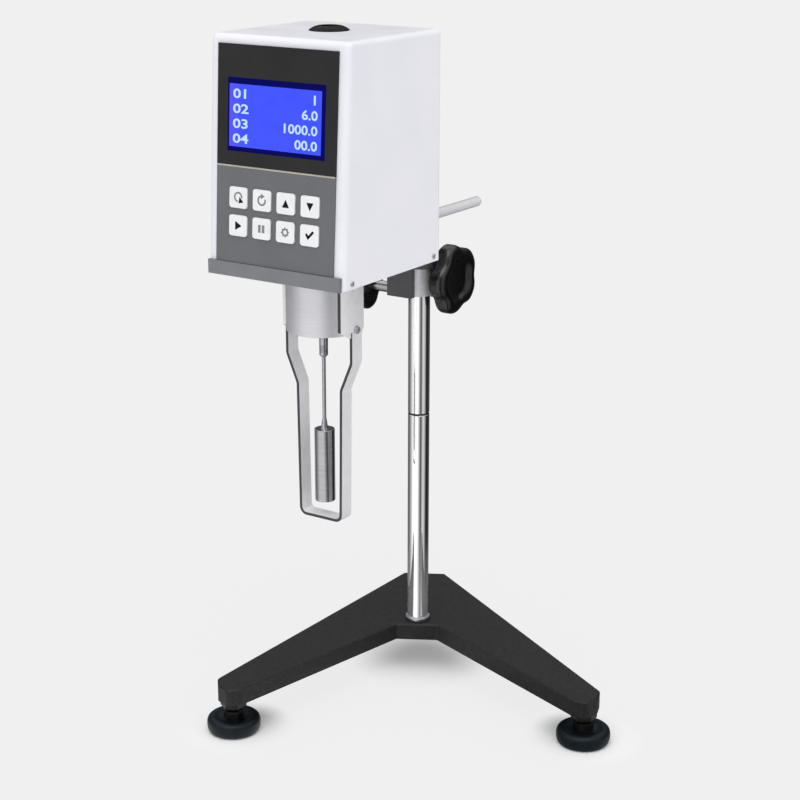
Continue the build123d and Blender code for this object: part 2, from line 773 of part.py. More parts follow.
# ---------------------------------------------------------------- level on top
level_axis = head.origin + Vector(0, level_y, 0)
with BuildPart() as level_bezel:
    with BuildSketch(Plane(level_axis, x_dir=(1, 0, 0), z_dir=(0, -1, 0))):
        with BuildLine():
            Polyline(
                (0, head_top - head_wall - 3.0),
                (3.0 - seat, head_top - head_wall - 3.0),
                (3.0 - seat, head_top),
                (level_radius, head_top),
                (level_radius, head_top + 0.8),
                (level_radius - 2.8, head_top + 3.2),
                (vial_radius + 0.8, head_top + level_height),
                (vial_radius, head_top + level_height),
                (vial_radius, head_top + 1.0),
                (0, head_top + 1.0),
                close=True,
            )
        make_face()
    revolve(axis=Axis(level_axis, (0, 0, 1)))
finish(level_bezel, "level_bezel")

with BuildPart() as level_vial:
    with BuildSketch(head.offset(head_top + 1.0)):
        with Locations((0, level_y)):
            Circle(vial_radius - seat)
    extrude(amount=level_height - 1.2)
finish(level_vial, "level_vial")

# ---------------------------------------------------------------- chassis and spindle housing
plate_z = head_bottom + 0.5
plate_thickness = 2.0
plate_flange_length = 110.0
plate_flange_height = 10.0
chassis_top = plate_z + plate_thickness
inner_half = head_width / 2 - head_wall
with BuildPart() as chassis_plate:
    with BuildSketch(head.offset(plate_z)):
        with Locations((0, (head_front + head_back) / 2 + 0.2)):
            RectangleRounded(2 * inner_half - 0.2, head_back - head_front - 2 * head_wall - 0.8, head_corner - head_wall)
        Circle(housing_radius + seat, mode=Mode.SUBTRACT)
    extrude(amount=plate_thickness)
    for s in (-1, 1):
        with BuildSketch(head.offset(plate_z)):
            with Locations((s * (inner_half - 0.1 - 1.0), 5.0)):
                Rectangle(plate_thickness, plate_flange_length)
        extrude(amount=plate_flange_height)
finish(chassis_plate, "chassis_plate")

housing_wall = 4.0
housing_flange_radius = 32.0
housing_flange = 3.0
housing_top = chassis_top + housing_flange
bearing_radius = 7.0
mouth_radius = 6.0
with BuildPart() as spindle_housing:
    with BuildSketch(head.offset(housing_bottom)):
        Circle(housing_radius)
    extrude(amount=chassis_top - housing_bottom)
    with BuildSketch(head.offset(chassis_top)):
        Circle(housing_flange_radius)
    extrude(amount=housing_flange)
    with BuildSketch(head.offset(housing_bottom + 3.0)):
        Circle(housing_radius - housing_wall)
    extrude(amount=housing_top - 4.0 - housing_bottom - 3.0, mode=Mode.SUBTRACT)
    with BuildSketch(head.offset(housing_bottom - 1.0)):
        Circle(mouth_radius)
    extrude(amount=5.0, mode=Mode.SUBTRACT)
    with BuildSketch(head.offset(housing_top - 5.0)):
        Circle(bearing_radius)
    extrude(amount=6.0, mode=Mode.SUBTRACT)
finish(spindle_housing, "spindle_housing")

pivot_diameter = 4.0
with BuildPart() as pivot_bearing:
    with BuildSketch(head.offset(housing_top - 4.0)):
        Circle(bearing_radius - seat)
        Circle(pivot_diameter / 2 + run, mode=Mode.SUBTRACT)
    extrude(amount=6.0)
finish(pivot_bearing, "pivot_bearing")

# ---------------------------------------------------------------- guard
# one bent strip: two curved ears on the housing, two legs and a bar under the rotor
ear_inner = housing_radius + seat
ear_top = head_bottom - 1.5
half = guard_thickness / 2
ear_half_width = ear_inner * sin(radians(ear_half_angle))
guard_path = [
    (guard_upper_x, ear_tip + 4.0),
    (guard_upper_x, guard_bend_upper),
    (guard_lower_x, guard_bend_lower),
    (guard_foot_x, guard_bottom + half),
]
with BuildPart() as guard:
    with BuildSketch(Plane(head.origin, x_dir=(1, 0, 0), z_dir=(0, -1, 0)).offset(-guard_width / 2)):
        with BuildLine():
            FilletPolyline(
                *guard_path,
                *[(-x, z) for x, z in reversed(guard_path)],
                radius=[guard_bend, guard_bend, guard_corner, guard_corner, guard_bend, guard_bend],
            )
        trace(line_width=guard_thickness)
    extrude(amount=guard_width)
    with BuildPart() as ears:
        with BuildSketch(head.offset(ear_tip)):
            Circle(ear_inner + guard_thickness)
        extrude(amount=ear_top - ear_tip)
        # seen from the side, each ear is as wide as its arc and narrows to the strip
        with BuildSketch(head_side.offset(-2 * housing_radius)):
            with BuildLine():
                Polyline(
                    (-ear_half_width, ear_top + 1.0),
                    (-ear_half_width, ear_bottom),
                    (-guard_width / 2, ear_tip),
                    (guard_width / 2, ear_tip),
                    (ear_half_width, ear_bottom),
                    (ear_half_width, ear_top + 1.0),
                    close=True,
                )
            make_face()
        extrude(amount=4 * housing_radius, mode=Mode.INTERSECT)
    with BuildSketch(head.offset(ear_tip - 1.0)):
        Circle(ear_inner)
    extrude(amount=ear_top - ear_tip + 2.0, mode=Mode.SUBTRACT)
finish(guard, "guard")

# ---------------------------------------------------------------- rotor train
coupling_top = housing_bottom + 3.0
pivot_bottom = coupling_top - 8.0
lower_disc_z = 378.0
disc_thickness = 0.8
spring_gap = 8.0
spring_height = 3.0
pivot_above_spring = 9.0
hub_depth = 6.0
spring_z = lower_disc_z + spring_gap
pivot_top = spring_z + spring_height + pivot_above_spring
upper_disc_z = pivot_top + hub_depth
with BuildPart() as coupling:
    with BuildSketch(head.offset(coupling_bottom)):
        Circle(coupling_diameter / 2)
    extrude(amount=coupling_top - coupling_bottom)
    chamfer(coupling.faces().sort_by(Axis.Z)[0].edges(), length=1.2)
    with BuildSketch(head.offset(pivot_bottom)):
        Circle(pivot_diameter / 2 + seat)
    extrude(amount=10.0, mode=Mode.SUBTRACT)
    with BuildSketch(head.offset(coupling_bottom - 1.0)):
        Circle(shaft_diameter / 2 + seat)
    extrude(amount=11.0, mode=Mode.SUBTRACT)
finish(coupling, "coupling")

cone_top = rotor_top + rotor_cone
with BuildPart() as rotor:
    with BuildSketch(Plane(head.origin, x_dir=(1, 0, 0), z_dir=(0, -1, 0))):
        with BuildLine():
            Polyline(
                (0, rotor_bottom),
                (rotor_diameter / 2, rotor_bottom),
                (rotor_diameter / 2, rotor_top),
                (rotor_cone_diameter / 2, rotor_top),
                (shaft_diameter / 2, cone_top),
                (shaft_diameter / 2, coupling_bottom + 9.5),
                (0, coupling_bottom + 9.5),
                close=True,
            )
        make_face()
    revolve(axis=Axis(head.origin, (0, 0, 1)))
finish(rotor, "rotor")

collet_radius = 5.0
disc_radius = 20.0
with BuildPart() as pivot_shaft:
    with BuildSketch(head.offset(pivot_bottom)):
        Circle(pivot_diameter / 2)
    extrude(amount=pivot_top - pivot_bottom)
    with BuildSketch(head.offset(lower_disc_z + disc_thickness)):
        Circle(collet_radius)
    extrude(amount=spring_z + spring_height - lower_disc_z - disc_thickness)
finish(pivot_shaft, "pivot_shaft")

slot_count = 12
with BuildPart() as lower_disc:
    with BuildSketch(head.offset(lower_disc_z)):
        Circle(disc_radius)
        Circle(pivot_diameter / 2 + seat, mode=Mode.SUBTRACT)
        with PolarLocations(disc_radius - 2.2, slot_count):
            Rectangle(2.6, 2.4, mode=Mode.SUBTRACT)
    extrude(amount=disc_thickness)
finish(lower_disc, "lower_disc")

# hairspring: flat strip wound as an even spiral from the collet to the drive pin
spring_turns = 4
spring_inner = collet_radius - 0.1
spring_outer = 14.0
spring_strip = 0.35
steps = 18 * spring_turns
coil = []
for i in range(steps + 1):
    a = 2 * pi * i / 18
    r = spring_inner + (spring_outer - spring_inner) * i / steps
    coil.append((r, a))
outer_side = [((r + spring_strip) * cos(a), (r + spring_strip) * sin(a)) for r, a in coil]
inner_side = [(r * cos(a), r * sin(a)) for r, a in coil]
with BuildPart() as hairspring:
    with BuildSketch(head.offset(spring_z)):
        with BuildLine():
            Polyline(*outer_side, *reversed(inner_side), close=True)
        make_face()
        Circle(collet_radius + seat, mode=Mode.SUBTRACT)
    extrude(amount=spring_height)
finish(hairspring, "hairspring")

motor_shaft_diameter = 5.0
bridge_gap = 20.0
bridge_z = upper_disc_z + bridge_gap
bridge_thickness = 2.0
hub_radius = 6.0
hub_neck_radius = 4.0
hub_neck_length = 10.0
anchor_width = 3.6
anchor_thickness = 2.5
anchor_pin = 1.6
anchor_z = pivot_top - 2.0
anchor_radius = spring_outer + spring_strip + 1.15
with BuildPart() as drive_hub:
    with BuildSketch(head.offset(pivot_top - 4.0)):
        Circle(hub_radius)
    extrude(amount=upper_disc_z - pivot_top + 4.0)
    with BuildSketch(head.offset(upper_disc_z)):
        Circle(hub_neck_radius)
    extrude(amount=hub_neck_length)
    with BuildSketch(head.offset(upper_disc_z + hub_neck_length)):
        Circle(motor_shaft_diameter / 2)
    extrude(amount=bridge_z - upper_disc_z)
    # arm and pin that hold the outer end of the spring
    with BuildSketch(head.offset(anchor_z)):
        with Locations((anchor_radius / 2 + 0.9, 0)):
            Rectangle(anchor_radius + 1.8, anchor_width)
    extrude(amount=anchor_thickness)
    with BuildSketch(head.offset(spring_z - 1.0)):
        with Locations((anchor_radius, 0)):
            Rectangle(anchor_pin, anchor_pin)
    extrude(amount=anchor_z - spring_z + 1.0)
    with BuildSketch(head.offset(pivot_top - 4.0)):
        Circle(pivot_diameter / 2 + run)
    extrude(amount=5.0, mode=Mode.SUBTRACT)
finish(drive_hub, "drive_hub")

with BuildPart() as upper_disc:
    with BuildSketch(head.offset(upper_disc_z)):
        Circle(disc_radius)
        Circle(hub_neck_radius + seat, mode=Mode.SUBTRACT)
        with PolarLocations(disc_radius - 2.2, slot_count):
            Rectangle(2.6, 2.4, mode=Mode.SUBTRACT)
    extrude(amount=disc_thickness)
finish(upper_disc, "upper_disc")

motor_side = 39.0
motor_height = 26.0
with BuildPart() as motor:
    with BuildSketch(head.offset(bridge_z + bridge_thickness)):
        RectangleRounded(motor_side, motor_side, 4.0)
    extrude(amount=motor_height)
    with BuildSketch(head.offset(bridge_z)):
        Circle(10.0)
    extrude(amount=bridge_thickness)
    with BuildSketch(head.offset(bridge_z - 1.0)):
        Circle(motor_shaft_diameter / 2 + run)
    extrude(amount=11.5, mode=Mode.SUBTRACT)
finish(motor, "motor")

# bridge: bent sheet with two legs on the chassis and a flange for the main board
leg_x = 37.0
bridge_front = -22.0
board_y = 42.0
with BuildPart() as motor_bridge:
    with BuildSketch(head.offset(bridge_z)):
        with Locations((0, (bridge_front + board_y) / 2)):
            Rectangle(2 * leg_x, board_y - bridge_front)
    extrude(amount=bridge_thickness)
    for s in (-1, 1):
        with BuildSketch(head.offset(chassis_top)):
            with Locations((s * (leg_x - bridge_thickness / 2), 0)):
                Rectangle(bridge_thickness, 40.0)
        extrude(amount=bridge_z - chassis_top)
        with BuildSketch(head.offset(chassis_top)):
            with Locations((s * (leg_x + 5.0), 0)):
                Rectangle(10.0, 40.0)
        extrude(amount=bridge_thickness)
    with BuildSketch(backwards(0, board_y - bridge_thickness, bridge_z - 12.0)):
        Rectangle(2 * leg_x, 28.0)
    extrude(amount=bridge_thickness)
    with BuildSketch(head.offset(bridge_z - 1.0)):
        Circle(10.0 + seat)
    extrude(amount=bridge_thickness + 2.0, mode=Mode.SUBTRACT)
finish(motor_bridge, "motor_bridge")

fork_x = disc_radius - 4.5
sensor_right = leg_x - bridge_thickness
with BuildPart() as slot_sensor:
    with BuildSketch(head.offset(lower_disc_z - 4.0)):
        with Locations((sensor_right - 2.0, 0)):
            Rectangle(4.0, 10.0)
    extrude(amount=upper_disc_z - lower_disc_z + 8.0 + disc_thickness)
    for z in (lower_disc_z, upper_disc_z):
        with BuildSketch(head.offset(z - 4.0)):
            with Locations(((fork_x + sensor_right) / 2, 0)):
                Rectangle(sensor_right - fork_x, 10.0)
        extrude(amount=8.0 + disc_thickness)
        with BuildSketch(head.offset(z - 1.5)):
            with Locations(((fork_x + disc_radius) / 2, 0)):
                Rectangle(disc_radius + 4.5 - fork_x, 11.0)
        extrude(amount=3.0 + disc_thickness, mode=Mode.SUBTRACT)
finish(slot_sensor, "slot_sensor")

# ---------------------------------------------------------------- electrics
board_width = 92.0
board_height = 96.0
board_thickness = 1.6
board_z = 408.0
chip_size = 14.0
chip_pitch = 30.0
chip_height = 2.5
with BuildPart() as main_board:
    with BuildSketch(backwards(0, board_y, board_z)):
        Rectangle(board_width, board_height)
    extrude(amount=board_thickness)
    with BuildSketch(backwards(0, board_y + board_thickness, board_z)):
        with Locations((0, chip_pitch)):
            with GridLocations(chip_pitch, chip_pitch, 3, 1):
                Rectangle(chip_size, chip_size)
    extrude(amount=chip_height)
finish(main_board, "main_board")

inlet_depth = 16.0
with BuildPart() as power_inlet:
    with BuildSketch(backwards(inlet_x, head_back - inlet_depth, socket_z)):
        Rectangle(inlet_size[0] - 0.1, inlet_size[1] - 0.1)
    extrude(amount=inlet_depth)
    with BuildSketch(backwards(inlet_x, head_back, socket_z)):
        RectangleRounded(inlet_size[0] + 5.0, inlet_size[1] + 5.0, 2.0)
    extrude(amount=2.0)
    with BuildSketch(backwards(inlet_x, head_back + 2.0, socket_z)) as mouth:
        Rectangle(23.0, 15.6)
        chamfer(mouth.vertices().sort_by(Axis.Z)[-2:], length=4.0)
    extrude(amount=-13.0, mode=Mode.SUBTRACT)
    with BuildSketch(backwards(inlet_x, head_back - 11.0, socket_z)):
        with Locations((-7.0, -1.0), (0, 3.0), (7.0, -1.0)):
            Rectangle(2.0, 4.5)
    extrude(amount=9.0)
finish(power_inlet, "power_inlet")

rocker_axis = Plane((head_x + switch_x, head_y + head_back - 1.0, socket_z))
pin_half = switch_size[1] / 2 - 0.9
with BuildPart() as switch_frame:
    with BuildSketch(backwards(switch_x, head_back - 12.0, socket_z)):
        Rectangle(switch_size[0] - 0.1, switch_size[1] - 0.1)
    extrude(amount=12.0)
    with BuildSketch(backwards(switch_x, head_back, socket_z)):
        RectangleRounded(switch_size[0] + 3.0, switch_size[1] + 3.0, 1.5)
    extrude(amount=1.6)
    with BuildSketch(backwards(switch_x, head_back - 9.0, socket_z)):
        Rectangle(switch_size[0] - 3.6, switch_size[1] - 3.6)
    extrude(amount=12.0, mode=Mode.SUBTRACT)
    with BuildSketch(rocker_axis.offset(-pin_half - 0.3)):
        Circle(1.2 + run)
    extrude(amount=2 * pin_half + 0.6, mode=Mode.SUBTRACT)
finish(switch_frame, "switch_frame")

# rocker: two flat pads that meet in a shallow valley, turning on a cross pin
rocker_half = (switch_size[0] - 3.6) / 2 - apart
rocker_width = switch_size[1] - 3.6 - 2 * apart
with BuildPart() as switch_rocker:
    with BuildSketch(rocker_axis.offset(-rocker_width / 2)):
        with BuildLine():
            Polyline(
                (-rocker_half + 0.6, -3.0),
                (rocker_half - 0.6, -3.0),
                (rocker_half - 0.6, 1.8),
                (0, 2.6),
                (-rocker_half + 0.6, 5.2),
                close=True,
            )
        make_face()
    extrude(amount=rocker_width)
    with BuildSketch(rocker_axis.offset(-pin_half)):
        Circle(1.2)
    extrude(amount=2 * pin_half)
finish(switch_rocker, "switch_rocker")

with BuildPart() as probe_socket:
    with BuildSketch(backwards(0, head_back - 10.0, probe_z)):
        Circle(probe_radius - seat)
    extrude(amount=10.0)
    with BuildSketch(backwards(0, head_back, probe_z)):
        Circle(probe_radius + 2.5)
    extrude(amount=2.5)
    with BuildSketch(backwards(0, head_back + 2.5, probe_z)):
        Circle(4.2)
    extrude(amount=-7.0, mode=Mode.SUBTRACT)
finish(probe_socket, "probe_socket")
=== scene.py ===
import bmesh
import bpy
import math
import numpy as np
from mathutils import Matrix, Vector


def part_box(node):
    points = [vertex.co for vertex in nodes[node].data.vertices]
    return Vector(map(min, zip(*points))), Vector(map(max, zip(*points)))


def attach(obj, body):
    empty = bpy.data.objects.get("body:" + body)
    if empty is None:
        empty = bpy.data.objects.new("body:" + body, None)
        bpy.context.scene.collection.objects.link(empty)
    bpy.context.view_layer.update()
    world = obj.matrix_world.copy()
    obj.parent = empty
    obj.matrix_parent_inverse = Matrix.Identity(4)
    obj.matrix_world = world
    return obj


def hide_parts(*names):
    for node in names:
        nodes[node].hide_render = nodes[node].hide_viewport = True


# A rotational viscometer on a column stand. The CAD frame gives every place; this script adds the finishes,
# the smooth and the small pieces, the room and the camera.
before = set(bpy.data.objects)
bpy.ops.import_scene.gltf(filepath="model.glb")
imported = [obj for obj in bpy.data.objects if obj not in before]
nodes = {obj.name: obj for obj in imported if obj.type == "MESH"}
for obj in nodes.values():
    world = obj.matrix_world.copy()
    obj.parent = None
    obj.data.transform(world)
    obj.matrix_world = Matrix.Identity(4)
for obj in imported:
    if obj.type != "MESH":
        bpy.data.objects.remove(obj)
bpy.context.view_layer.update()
print("frame loaded:", len(nodes), "nodes")

mm = 0.001


def corners(name):
    # lowest and highest corner of a CAD node, in millimetres
    low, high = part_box(name)
    return [v / mm for v in low], [v / mm for v in high]


def centre(name):
    # halfway between a CAD node's two corners
    low, high = corners(name)
    return [(a + b) / 2 for a, b in zip(low, high)]


columnX, columnY = centre("lower_column")[:2]
headX, headY = centre("spindle_housing")[:2]
coverLow, coverHigh = corners("head_cover")


def linearColour(hexText):
    # each sRGB channel over 255, then the sRGB curve undone
    channels = [int(hexText[i:i + 2], 16) / 255 for i in (1, 3, 5)]
    return tuple(c / 12.92 if c <= 0.04045 else ((c + 0.055) / 1.055) ** 2.4 for c in channels) + (1.0,)


def perMetre(millimetres):
    # a texture's scale for features of this real size: 1000 / size
    return 1000.0 / millimetres


def addNode(tree, kind, values=None, links=None, **settings):
    # one node with its settings, its sockets' values and the links into it
    node = tree.nodes.new(kind)
    for name, value in settings.items():
        setattr(node, name, value)
    for name, value in (values or {}).items():
        node.inputs[name].default_value = value
    for name, socket in (links or {}).items():
        tree.links.new(socket, node.inputs[name])
    return node


def newMaterial(name, **shaderValues):
    # a material with one Principled shader; what is the same all over goes straight on its sockets
    material = bpy.data.materials.new(name)
    material.use_nodes = True
    tree = material.node_tree
    shader = tree.nodes["Principled BSDF"]
    for socketName, value in shaderValues.items():
        shader.inputs[socketName.replace("_", " ")].default_value = value
    return material, tree, shader


def makeFinish(name, colours, patch, gloss, relief=None, spread=(0.35, 0.65), stretch=(1, 1, 1), detail=2.0,
               **shaderValues):
    # Sizes are real ones, in millimetres. The colour wanders between two hex values in patches of one size.
    # gloss is (patch, lowest roughness, highest roughness), and relief is (grain, height) of a fine bump.
    material, tree, shader = newMaterial(name, **shaderValues)
    where = addNode(tree, "ShaderNodeTexCoord").outputs["Object"]
    where = addNode(tree, "ShaderNodeMapping", {"Scale": stretch}, {"Vector": where}).outputs["Vector"]
    cloud = addNode(tree, "ShaderNodeTexNoise", {"Scale": perMetre(patch), "Detail": 3.0}, {"Vector": where})
    ramp = addNode(tree, "ShaderNodeValToRGB", None, {"Fac": cloud.outputs["Fac"]})
    for stop, position, colour in zip(ramp.color_ramp.elements, spread, colours):
        stop.position, stop.color = position, linearColour(colour)
    tree.links.new(ramp.outputs["Color"], shader.inputs["Base Color"])
    size, smoothest, roughest = gloss
    cloud = addNode(tree, "ShaderNodeTexNoise", {"Scale": perMetre(size), "Detail": 4.0}, {"Vector": where})
    span = addNode(tree, "ShaderNodeMapRange",
                   {"From Min": 0.3, "From Max": 0.7, "To Min": smoothest, "To Max": roughest},
                   {"Value": cloud.outputs["Fac"]})
    tree.links.new(span.outputs["Result"], shader.inputs["Roughness"])
    if relief:
        grain = addNode(tree, "ShaderNodeTexNoise", {"Scale": perMetre(relief[0]), "Detail": detail},
                        {"Vector": where})
        bump = addNode(tree, "ShaderNodeBump", {"Strength": 1.0, "Distance": relief[1] * mm},
                       {"Height": grain.outputs["Fac"]})
        tree.links.new(bump.outputs["Normal"], shader.inputs["Normal"])
    return material


def meshPiece(name, points, faces, finish, body, sharp=32):
    # one mesh of points in millimetres, its doubles merged so that poles close; faces that meet at less
    # than the sharp angle (degrees) shade as one
    mesh = bpy.data.meshes.new(name)
    mesh.from_pydata((np.array(points, float) * mm).tolist(), [], faces)
    shape = bmesh.new()
    shape.from_mesh(mesh)
    bmesh.ops.remove_doubles(shape, verts=shape.verts, dist=1e-7)  # in metres
    shape.to_mesh(mesh)
    shape.free()
    mesh.materials.append(finish)
    mesh.polygons.foreach_set("use_smooth", [True] * len(mesh.polygons))
    mesh.set_sharp_from_angle(angle=math.radians(sharp))
    piece = bpy.data.objects.new(name, mesh)
    bpy.context.scene.collection.objects.link(piece)
    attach(piece, body)
    return piece


def gridFaces(rows, columns, closedRows=False):
    # quads (i, j), (i, j + 1), (i + 1, j + 1), (i + 1, j) of a grid whose columns run round and close;
    # closedRows joins the last row to the first
    i, j = np.meshgrid(np.arange(rows if closedRows else rows - 1), np.arange(columns), indexing="ij")
    below, above, after = i * columns, (i + 1) % rows * columns, (j + 1) % columns
    return np.stack([below + j, below + after, above + after, above + j], -1).reshape(-1, 4).tolist()


def softened(outline, radius, steps=4):
    # each corner c becomes a (1 - t)^2 + 2 c t (1 - t) + b t^2, from a to b, a radius before and after it, or
    # nearly half of a short run
    points = [np.array(p, float) for p in outline]
    t = np.linspace(0, 1, steps + 1)[:, None]
    line = [points[0]]
    for before, corner, after in zip(points, points[1:], points[2:]):
        back, on = np.linalg.norm(before - corner), np.linalg.norm(after - corner)
        a = corner + (before - corner) / back * min(radius, back * 0.45)
        b = corner + (after - corner) / on * min(radius, on * 0.45)
        line += list(a * (1 - t) ** 2 + 2 * corner * t * (1 - t) + b * t ** 2)
    return line + [points[-1]]


def turnedPiece(name, profile, place, finish, body, axis="Z", count=96, wave=None, closed=False,
                sharp=32):
    # a profile of (radius, height) turned about an axis: r cos a, r sin a, h; wave(a) scales the radius,
    # and closed joins the profile's end to its start
    angles = np.arange(count) * 2 * np.pi / count
    radius, height = [v[:, None] for v in np.array(profile, float).T]
    if wave is not None:
        radius = radius * wave(angles)[None, :]
    local = np.stack(np.broadcast_arrays(radius * np.cos(angles), radius * np.sin(angles), height), -1)
    points = np.roll(local, {"Z": 0, "X": 1, "Y": 2}[axis], axis=-1) + np.array(place)
    return meshPiece(name, points.reshape(-1, 3), gridFaces(len(profile), count, closed), finish, body,
                     sharp)


# Paints. Powder coat has an even soft sheen, broken up by the orange peel of the sprayed powder.
powderWhite = makeFinish("powder coated steel, white", ("#E8E8EF", "#ECECF2"), patch=60,
                         gloss=(25, 0.30, 0.38), relief=(1.6, 0.012), IOR=1.5, Specular_IOR_Level=0.25)
# baked on smooth, a satin grey with hardly a wave in it
ledgePaint = makeFinish("stoved enamel, grey", ("#727479", "#787A7F"), patch=25, gloss=(10, 0.42, 0.5),
                        relief=(0.9, 0.008), IOR=1.5)
# wrinkle paint dries in fine ridges: specks of grey on black, and no clear highlight
castPaint = makeFinish("cast iron, wrinkle black paint", ("#151517", "#212123"), patch=2.2,
                       spread=(0.3, 0.7), gloss=(6, 0.50, 0.62), relief=(1.1, 0.09), detail=4.0, IOR=1.5,
                       Specular_IOR_Level=0.28)
# enamel over the casting's skin, mid grey and a little uneven
diePaint = makeFinish("die cast aluminium, grey enamel", ("#4C4C4E", "#555557"), patch=12,
                      gloss=(6, 0.36, 0.46), relief=(0.9, 0.012), IOR=1.5)

# Plastics and rubber. The overlays are printed film with a velvet face: a broad dull sheen on a fine grain.
velvet = {"patch": 30, "relief": (0.35, 0.006), "IOR": 1.58, "Specular_IOR_Level": 0.22}
darkOverlay = makeFinish("polycarbonate overlay, dark grey", ("#1A1A1C", "#1F1F21"), gloss=(12, 0.40, 0.48),
                         **velvet)
greyOverlay = makeFinish("polycarbonate overlay, mid grey", ("#66676A", "#6A6B6E"), gloss=(12, 0.42, 0.50),
                         **velvet)
# moulded smooth: bright, with small soft highlights
keyCap = makeFinish("moulded ABS, white", ("#E9E9EB", "#EEEEF0"), patch=8, gloss=(4, 0.28, 0.34),
                    relief=(0.5, 0.003), IOR=1.54)
# blue black with a dull bloom, its highlights spread wide
rubber = makeFinish("moulded rubber, blue black", ("#030A10", "#06121A"), patch=12, gloss=(5, 0.42, 0.55),
                    relief=(0.6, 0.01), IOR=1.52, Specular_IOR_Level=0.2)
# a plain black ring, soft at its edges
blackRing = makeFinish("nylon, black", ("#111112", "#191919"), patch=6, gloss=(3, 0.4, 0.5),
                       relief=(0.5, 0.006), IOR=1.53)
# pressed in a polished mould: deep black, and clear highlights along the lobes
phenolic = makeFinish("phenolic moulding, black", ("#050506", "#09090B"), patch=9, gloss=(7, 0.24, 0.32),
                      relief=(4.0, 0.006), IOR=1.6, Specular_IOR_Level=0.5)
# a spark-eroded mould leaves it flat black, with hardly a highlight
dullBlack = makeFinish("moulded nylon, matt black", ("#070708", "#0C0C0D"), patch=6, gloss=(3, 0.4, 0.5),
                       relief=(0.5, 0.006), IOR=1.5, Specular_IOR_Level=0.12)
# clear yellow green that lets some light through
vialFluid = makeFinish("level vial, acrylic", ("#B9C64A", "#D2DB6E"), patch=6, gloss=(4, 0.03, 0.06),
                       IOR=1.49, Transmission_Weight=0.35)
# paler than the spirit round it
bubbleClear = makeFinish("air bubble in spirit", ("#E6EBB0", "#F2F5C8"), patch=2, gloss=(1, 0.03, 0.08),
                         IOR=1.33, Transmission_Weight=0.2)
# lacquer over woven glass: mottled green with a small sheen
board = makeFinish("epoxy glass board, green lacquer", ("#123F22", "#1C5A31"), patch=1.6, spread=(0.45, 0.55),
                   gloss=(2, 0.28, 0.4), relief=(1.6, 0.03), IOR=1.55)

# Metals. Black oxide leaves steel dark, with a dim grey shine.
blackSteel = makeFinish("blackened steel", ("#232324", "#353536"), patch=3, gloss=(2, 0.38, 0.5),
                        relief=(0.4, 0.006), Metallic=0.85)
# the oxide over fine lathe rings scatters part of the light, so it is a soft metal white; these rings and
# those of the other turned or ground metals are drawn coarser than they are, to show
satinAluminium = makeFinish("turned aluminium, clear anodised", ("#D2D2D6", "#D8D8DC"), patch=3.0,
                            stretch=(0.1, 0.1, 4.0), gloss=(0.8, 0.30, 0.38), Metallic=0.45)
# ground round Z: a grey mirror, a little drawn out
groundSteel = makeFinish("stainless rod, ground", ("#A8A8AC", "#B0B0B4"), patch=4.0, stretch=(0.1, 0.1, 2.0),
                         gloss=(1.2, 0.15, 0.19), Metallic=1.0)
# drawn along Y, pale down the middle and darker at its edges, where the lacquer mirrors
brightRod = makeFinish("steel bar, satin plated and lacquered", ("#E4E4E8", "#F0F0F4"), patch=2.0,
                       stretch=(5.0, 0.1, 5.0), gloss=(0.8, 0.26, 0.36), Metallic=0.1, Coat_Weight=0.9,
                       Coat_Roughness=0.08, Coat_IOR=1.6)
# etched flat and pale, barely a metal to the eye
linerAluminium = makeFinish("aluminium bush, etched", ("#D6D6DA", "#E0E0E4"), patch=3.0,
                            gloss=(1.0, 0.38, 0.46), Metallic=0.25)
# zinc settles in cool blotches, some duller than others
plated = makeFinish("sheet steel, zinc plated", ("#9C9CA0", "#B8B8BC"), patch=9, gloss=(4, 0.3, 0.45),
                    Metallic=1.0)
# warm yellow, with fine rings from the lathe
brass = makeFinish("brass, turned", ("#A8863C", "#C6A555"), patch=2.0, stretch=(0.1, 0.1, 5.0),
                   gloss=(1.0, 0.24, 0.36), Metallic=1.0)
# small, soft and greyish, not a mirror
screwSteel = makeFinish("steel screw, dull nickel plated", ("#A4A4A8", "#C6C6CA"), patch=1.5,
                        gloss=(0.8, 0.22, 0.36), Metallic=0.5)

# a near mirror with hardly a haze; over its lowest part, which the polishing wheel can't reach, it is duller
plate = {"colours": ("#F2F2F4", "#F8F8FA"), "dullBelow": 60.0, "brightFrom": 125.0, "dull": 0.82,
         "bright": 1.0}
chrome = makeFinish("hard chrome plate, polished", plate["colours"], patch=40, gloss=(30, 0.05, 0.09),
                    Metallic=1.0)
tree, shader = chrome.node_tree, chrome.node_tree.nodes["Principled BSDF"]
place = addNode(tree, "ShaderNodeTexCoord").outputs["Object"]
height = addNode(tree, "ShaderNodeSeparateXYZ", None, {"Vector": place}).outputs["Z"]
polish = addNode(tree, "ShaderNodeMapRange",
                 {"From Min": plate["dullBelow"] * mm, "From Max": plate["brightFrom"] * mm,
                  "To Min": plate["dull"], "To Max": plate["bright"]},
                 {"Value": height}, interpolation_type="SMOOTHSTEP")
tree.links.new(polish.outputs["Result"], shader.inputs["Metallic"])

